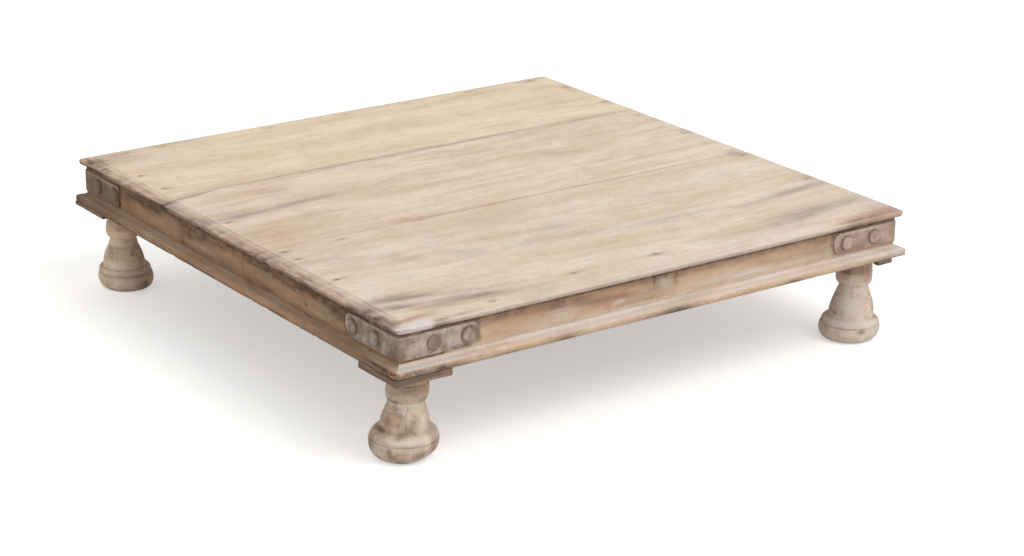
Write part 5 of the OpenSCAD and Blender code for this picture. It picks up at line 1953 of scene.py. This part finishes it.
def main() -> None:
    """Builds the table's pieces in the order of its making, then the studio."""
    logging.basicConfig(level=logging.INFO, format="%(name)s: %(message)s")
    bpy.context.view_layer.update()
    bpy.context.scene.view_settings.view_transform = "Standard"
    layout = Layout.read()

    tops = [WornTeak(f"teak_bleached_and_scrubbed_{part}", Grain.ALONG_X, *tints, grey="a2928a",
                     warm="cda183", pale=pale, dirt="5a4437", mottle=0.16, line_strength=0.34,
                     fibre=0.13).build()
            for part, pale, *tints in (("front", "dcd1cf", "eadbc9", "ddcab1", "cdb596"),
                                       ("middle", "e6dccf", "ecdcc8", "ddc9b0", "cbb394"),
                                       ("back", "ebe0cf", "f1e1c7", "e6d3b5", "d6c09d"))]
    pinkish = ("e2c7aa", "d6b694", "bd9a79")
    front, across = (WornTeak(f"teak_planed_and_worn_{way}", grain, *pinkish, pale="ddd3cc",
                              dirt="5d4539", fibre=0.28).build()
                     for way, grain in (("x", Grain.ALONG_X), ("y", Grain.ALONG_Y)))
    browned = ("b58d68", "9c7551", "7d5c3f")
    brown = WornTeak("teak_brown_and_weathered", Grain.ALONG_Y, *browned, pale="bda78f", mottle=0.55,
                     specks=1.8, speck_mm=4.0, line_strength=0.7, line_mm=2.2, stretch=9.0,
                     relief_mm=0.5, fibre=0.5).build()
    inner = WornTeak("teak_sawn", Grain.ALONG_Y, "bfa382", "ad8f6d", "957857").build()
    # The pads sit in the shade under the moulding's nose, and their finish is darkened for it: painted
    # shade over weathered teak
    pads = WornTeak("teak_pad_weathered_and_shaded", Grain.ALONG_X, "75594c", "614839", "4c382e",
                    pale="b09a8c", mottle=0.7, specks=1.2, relief_mm=0.4, fibre=0.4).build()
    turned = {
        "front_left": WornTeak("teak_turned_and_scrubbed", Grain.ALONG_Z, "edd8c2", "dcc1a8", "bfa28a",
                               pale="e3d8c8", mottle=0.55, line_mm=2.4, fibre=0.3, specks=1.4).build(),
        "front_right": WornTeak("teak_turned_and_bleached", Grain.ALONG_Z, "fae9da", "efd7c3", "d4b8a4",
                                mottle=0.3, line_mm=2.4, fibre=0.25, specks=1.5).build(),
        # The back left leg stands in the table's shade, and its finish is made paler to stand for light
        # from the left: painted light
        "back_left": WornTeak("teak_turned_and_brown", Grain.ALONG_Z, "fcdfc4", "f2cfad", "d4af8c",
                              pale="eadac8", mottle=0.45, line_mm=2.4, fibre=0.3, specks=1.4).build(),
    }
    turned["back_right"] = turned["front_left"]
    # The back left strap and its nails face left into the shade, and their finish is darkened for it:
    # painted shade over browned iron
    iron, nail, rosy, rosy_nail, dark, headed, rust = (BeatenIron(*tints).build() for tints in (
        ("iron_beaten_and_browned", "baa99b", "735d4f", "cfc1b3"),
        ("iron_nail_heads_browned", "b7a597", "806a59", "d2c5b6"),
        ("iron_beaten_and_reddened", "bda899", "947767", "cdbdaf"),
        ("iron_nail_heads_reddened", "b09b8e", "8a6d5f", "cbbaab"),
        ("iron_beaten_and_darkened", "85705a", "644f3c", "a58c72"),
        ("iron_nails_worn_flush", "b3a08a", "9a866f", "c4b298"),
        ("iron_nails_rusted", "5a4a3e", "4a392e", "6b5a4c")))

    PlankTop(layout).build(tops)
    Frame(layout).build(front, brown, inner, across)
    Moulding(layout).build(front, across, brown)
    Pads(layout).build(pads)
    # Each leg's turned sizes, as LegShape names them, and its splits
    legs = {
        "front_left": (
            LegShape(80.5, 43.9, 50, 19.4, 22.4, 0.1, 11.4, -3.0, 11.4, 44.9, 9.2, 49.7, 20.5,
                     (-4.7, -1.7, 2.8), 3.5),
            (Crack(239, 34, 72, 0.35, 0.45, 0.4), Crack(252, 4, 16, 0.35, 0.5, 0.4),
             Crack(150, 30, 80), Crack(20, 5, 50))),
        "front_right": (
            LegShape(77.1, 35.9, 53.2, 13.6, 20.1, 1.4, 7.7, -1.9, 9.6, 45.5, 14.1, 46.5, 18.6,
                     (-3.0, 0.8, -0.4)),
            (Crack(205, 30, 58, 0.3, 0.4, 0.3), Crack(80, 4, 40), Crack(310, 40, 95))),
        "back_left": (
            LegShape(72.3, 34.3, 53.3, 14.5, 21.2, 1.6, 6.7, 2.7, 8.5, 40.3, 12.4, 47.2, 21.4,
                     (3.2, -0.7, 5.0)),
            (Crack(288, 1, 14, 0.8, 1.8), Crack(222, 34, 62, 0.3, 0.4, 0.35), Crack(110, 6, 40))),
        "back_right": (LegShape(76, 36), (Crack(40, 20, 70), Crack(170, 3, 22))),
    }
    for number, (corner, (shape, cracks)) in enumerate(legs.items()):
        TurnedLeg(f"{corner}_leg", layout, 401 + 30 * number, shape, cracks).build(turned[corner])
    for corner in legs:
        give(f"{corner}_wedge", inner)
    Hardware(layout).build({"front_left": (iron, nail), "front_right": (rosy, rosy_nail),
                            "back_left": (dark, dark), "back_right": (iron, nail)}, headed, rust)

    studio = Studio()
    studio.camera()
    studio.floor()
    studio.light()


if __name__ == "__main__":
    main()
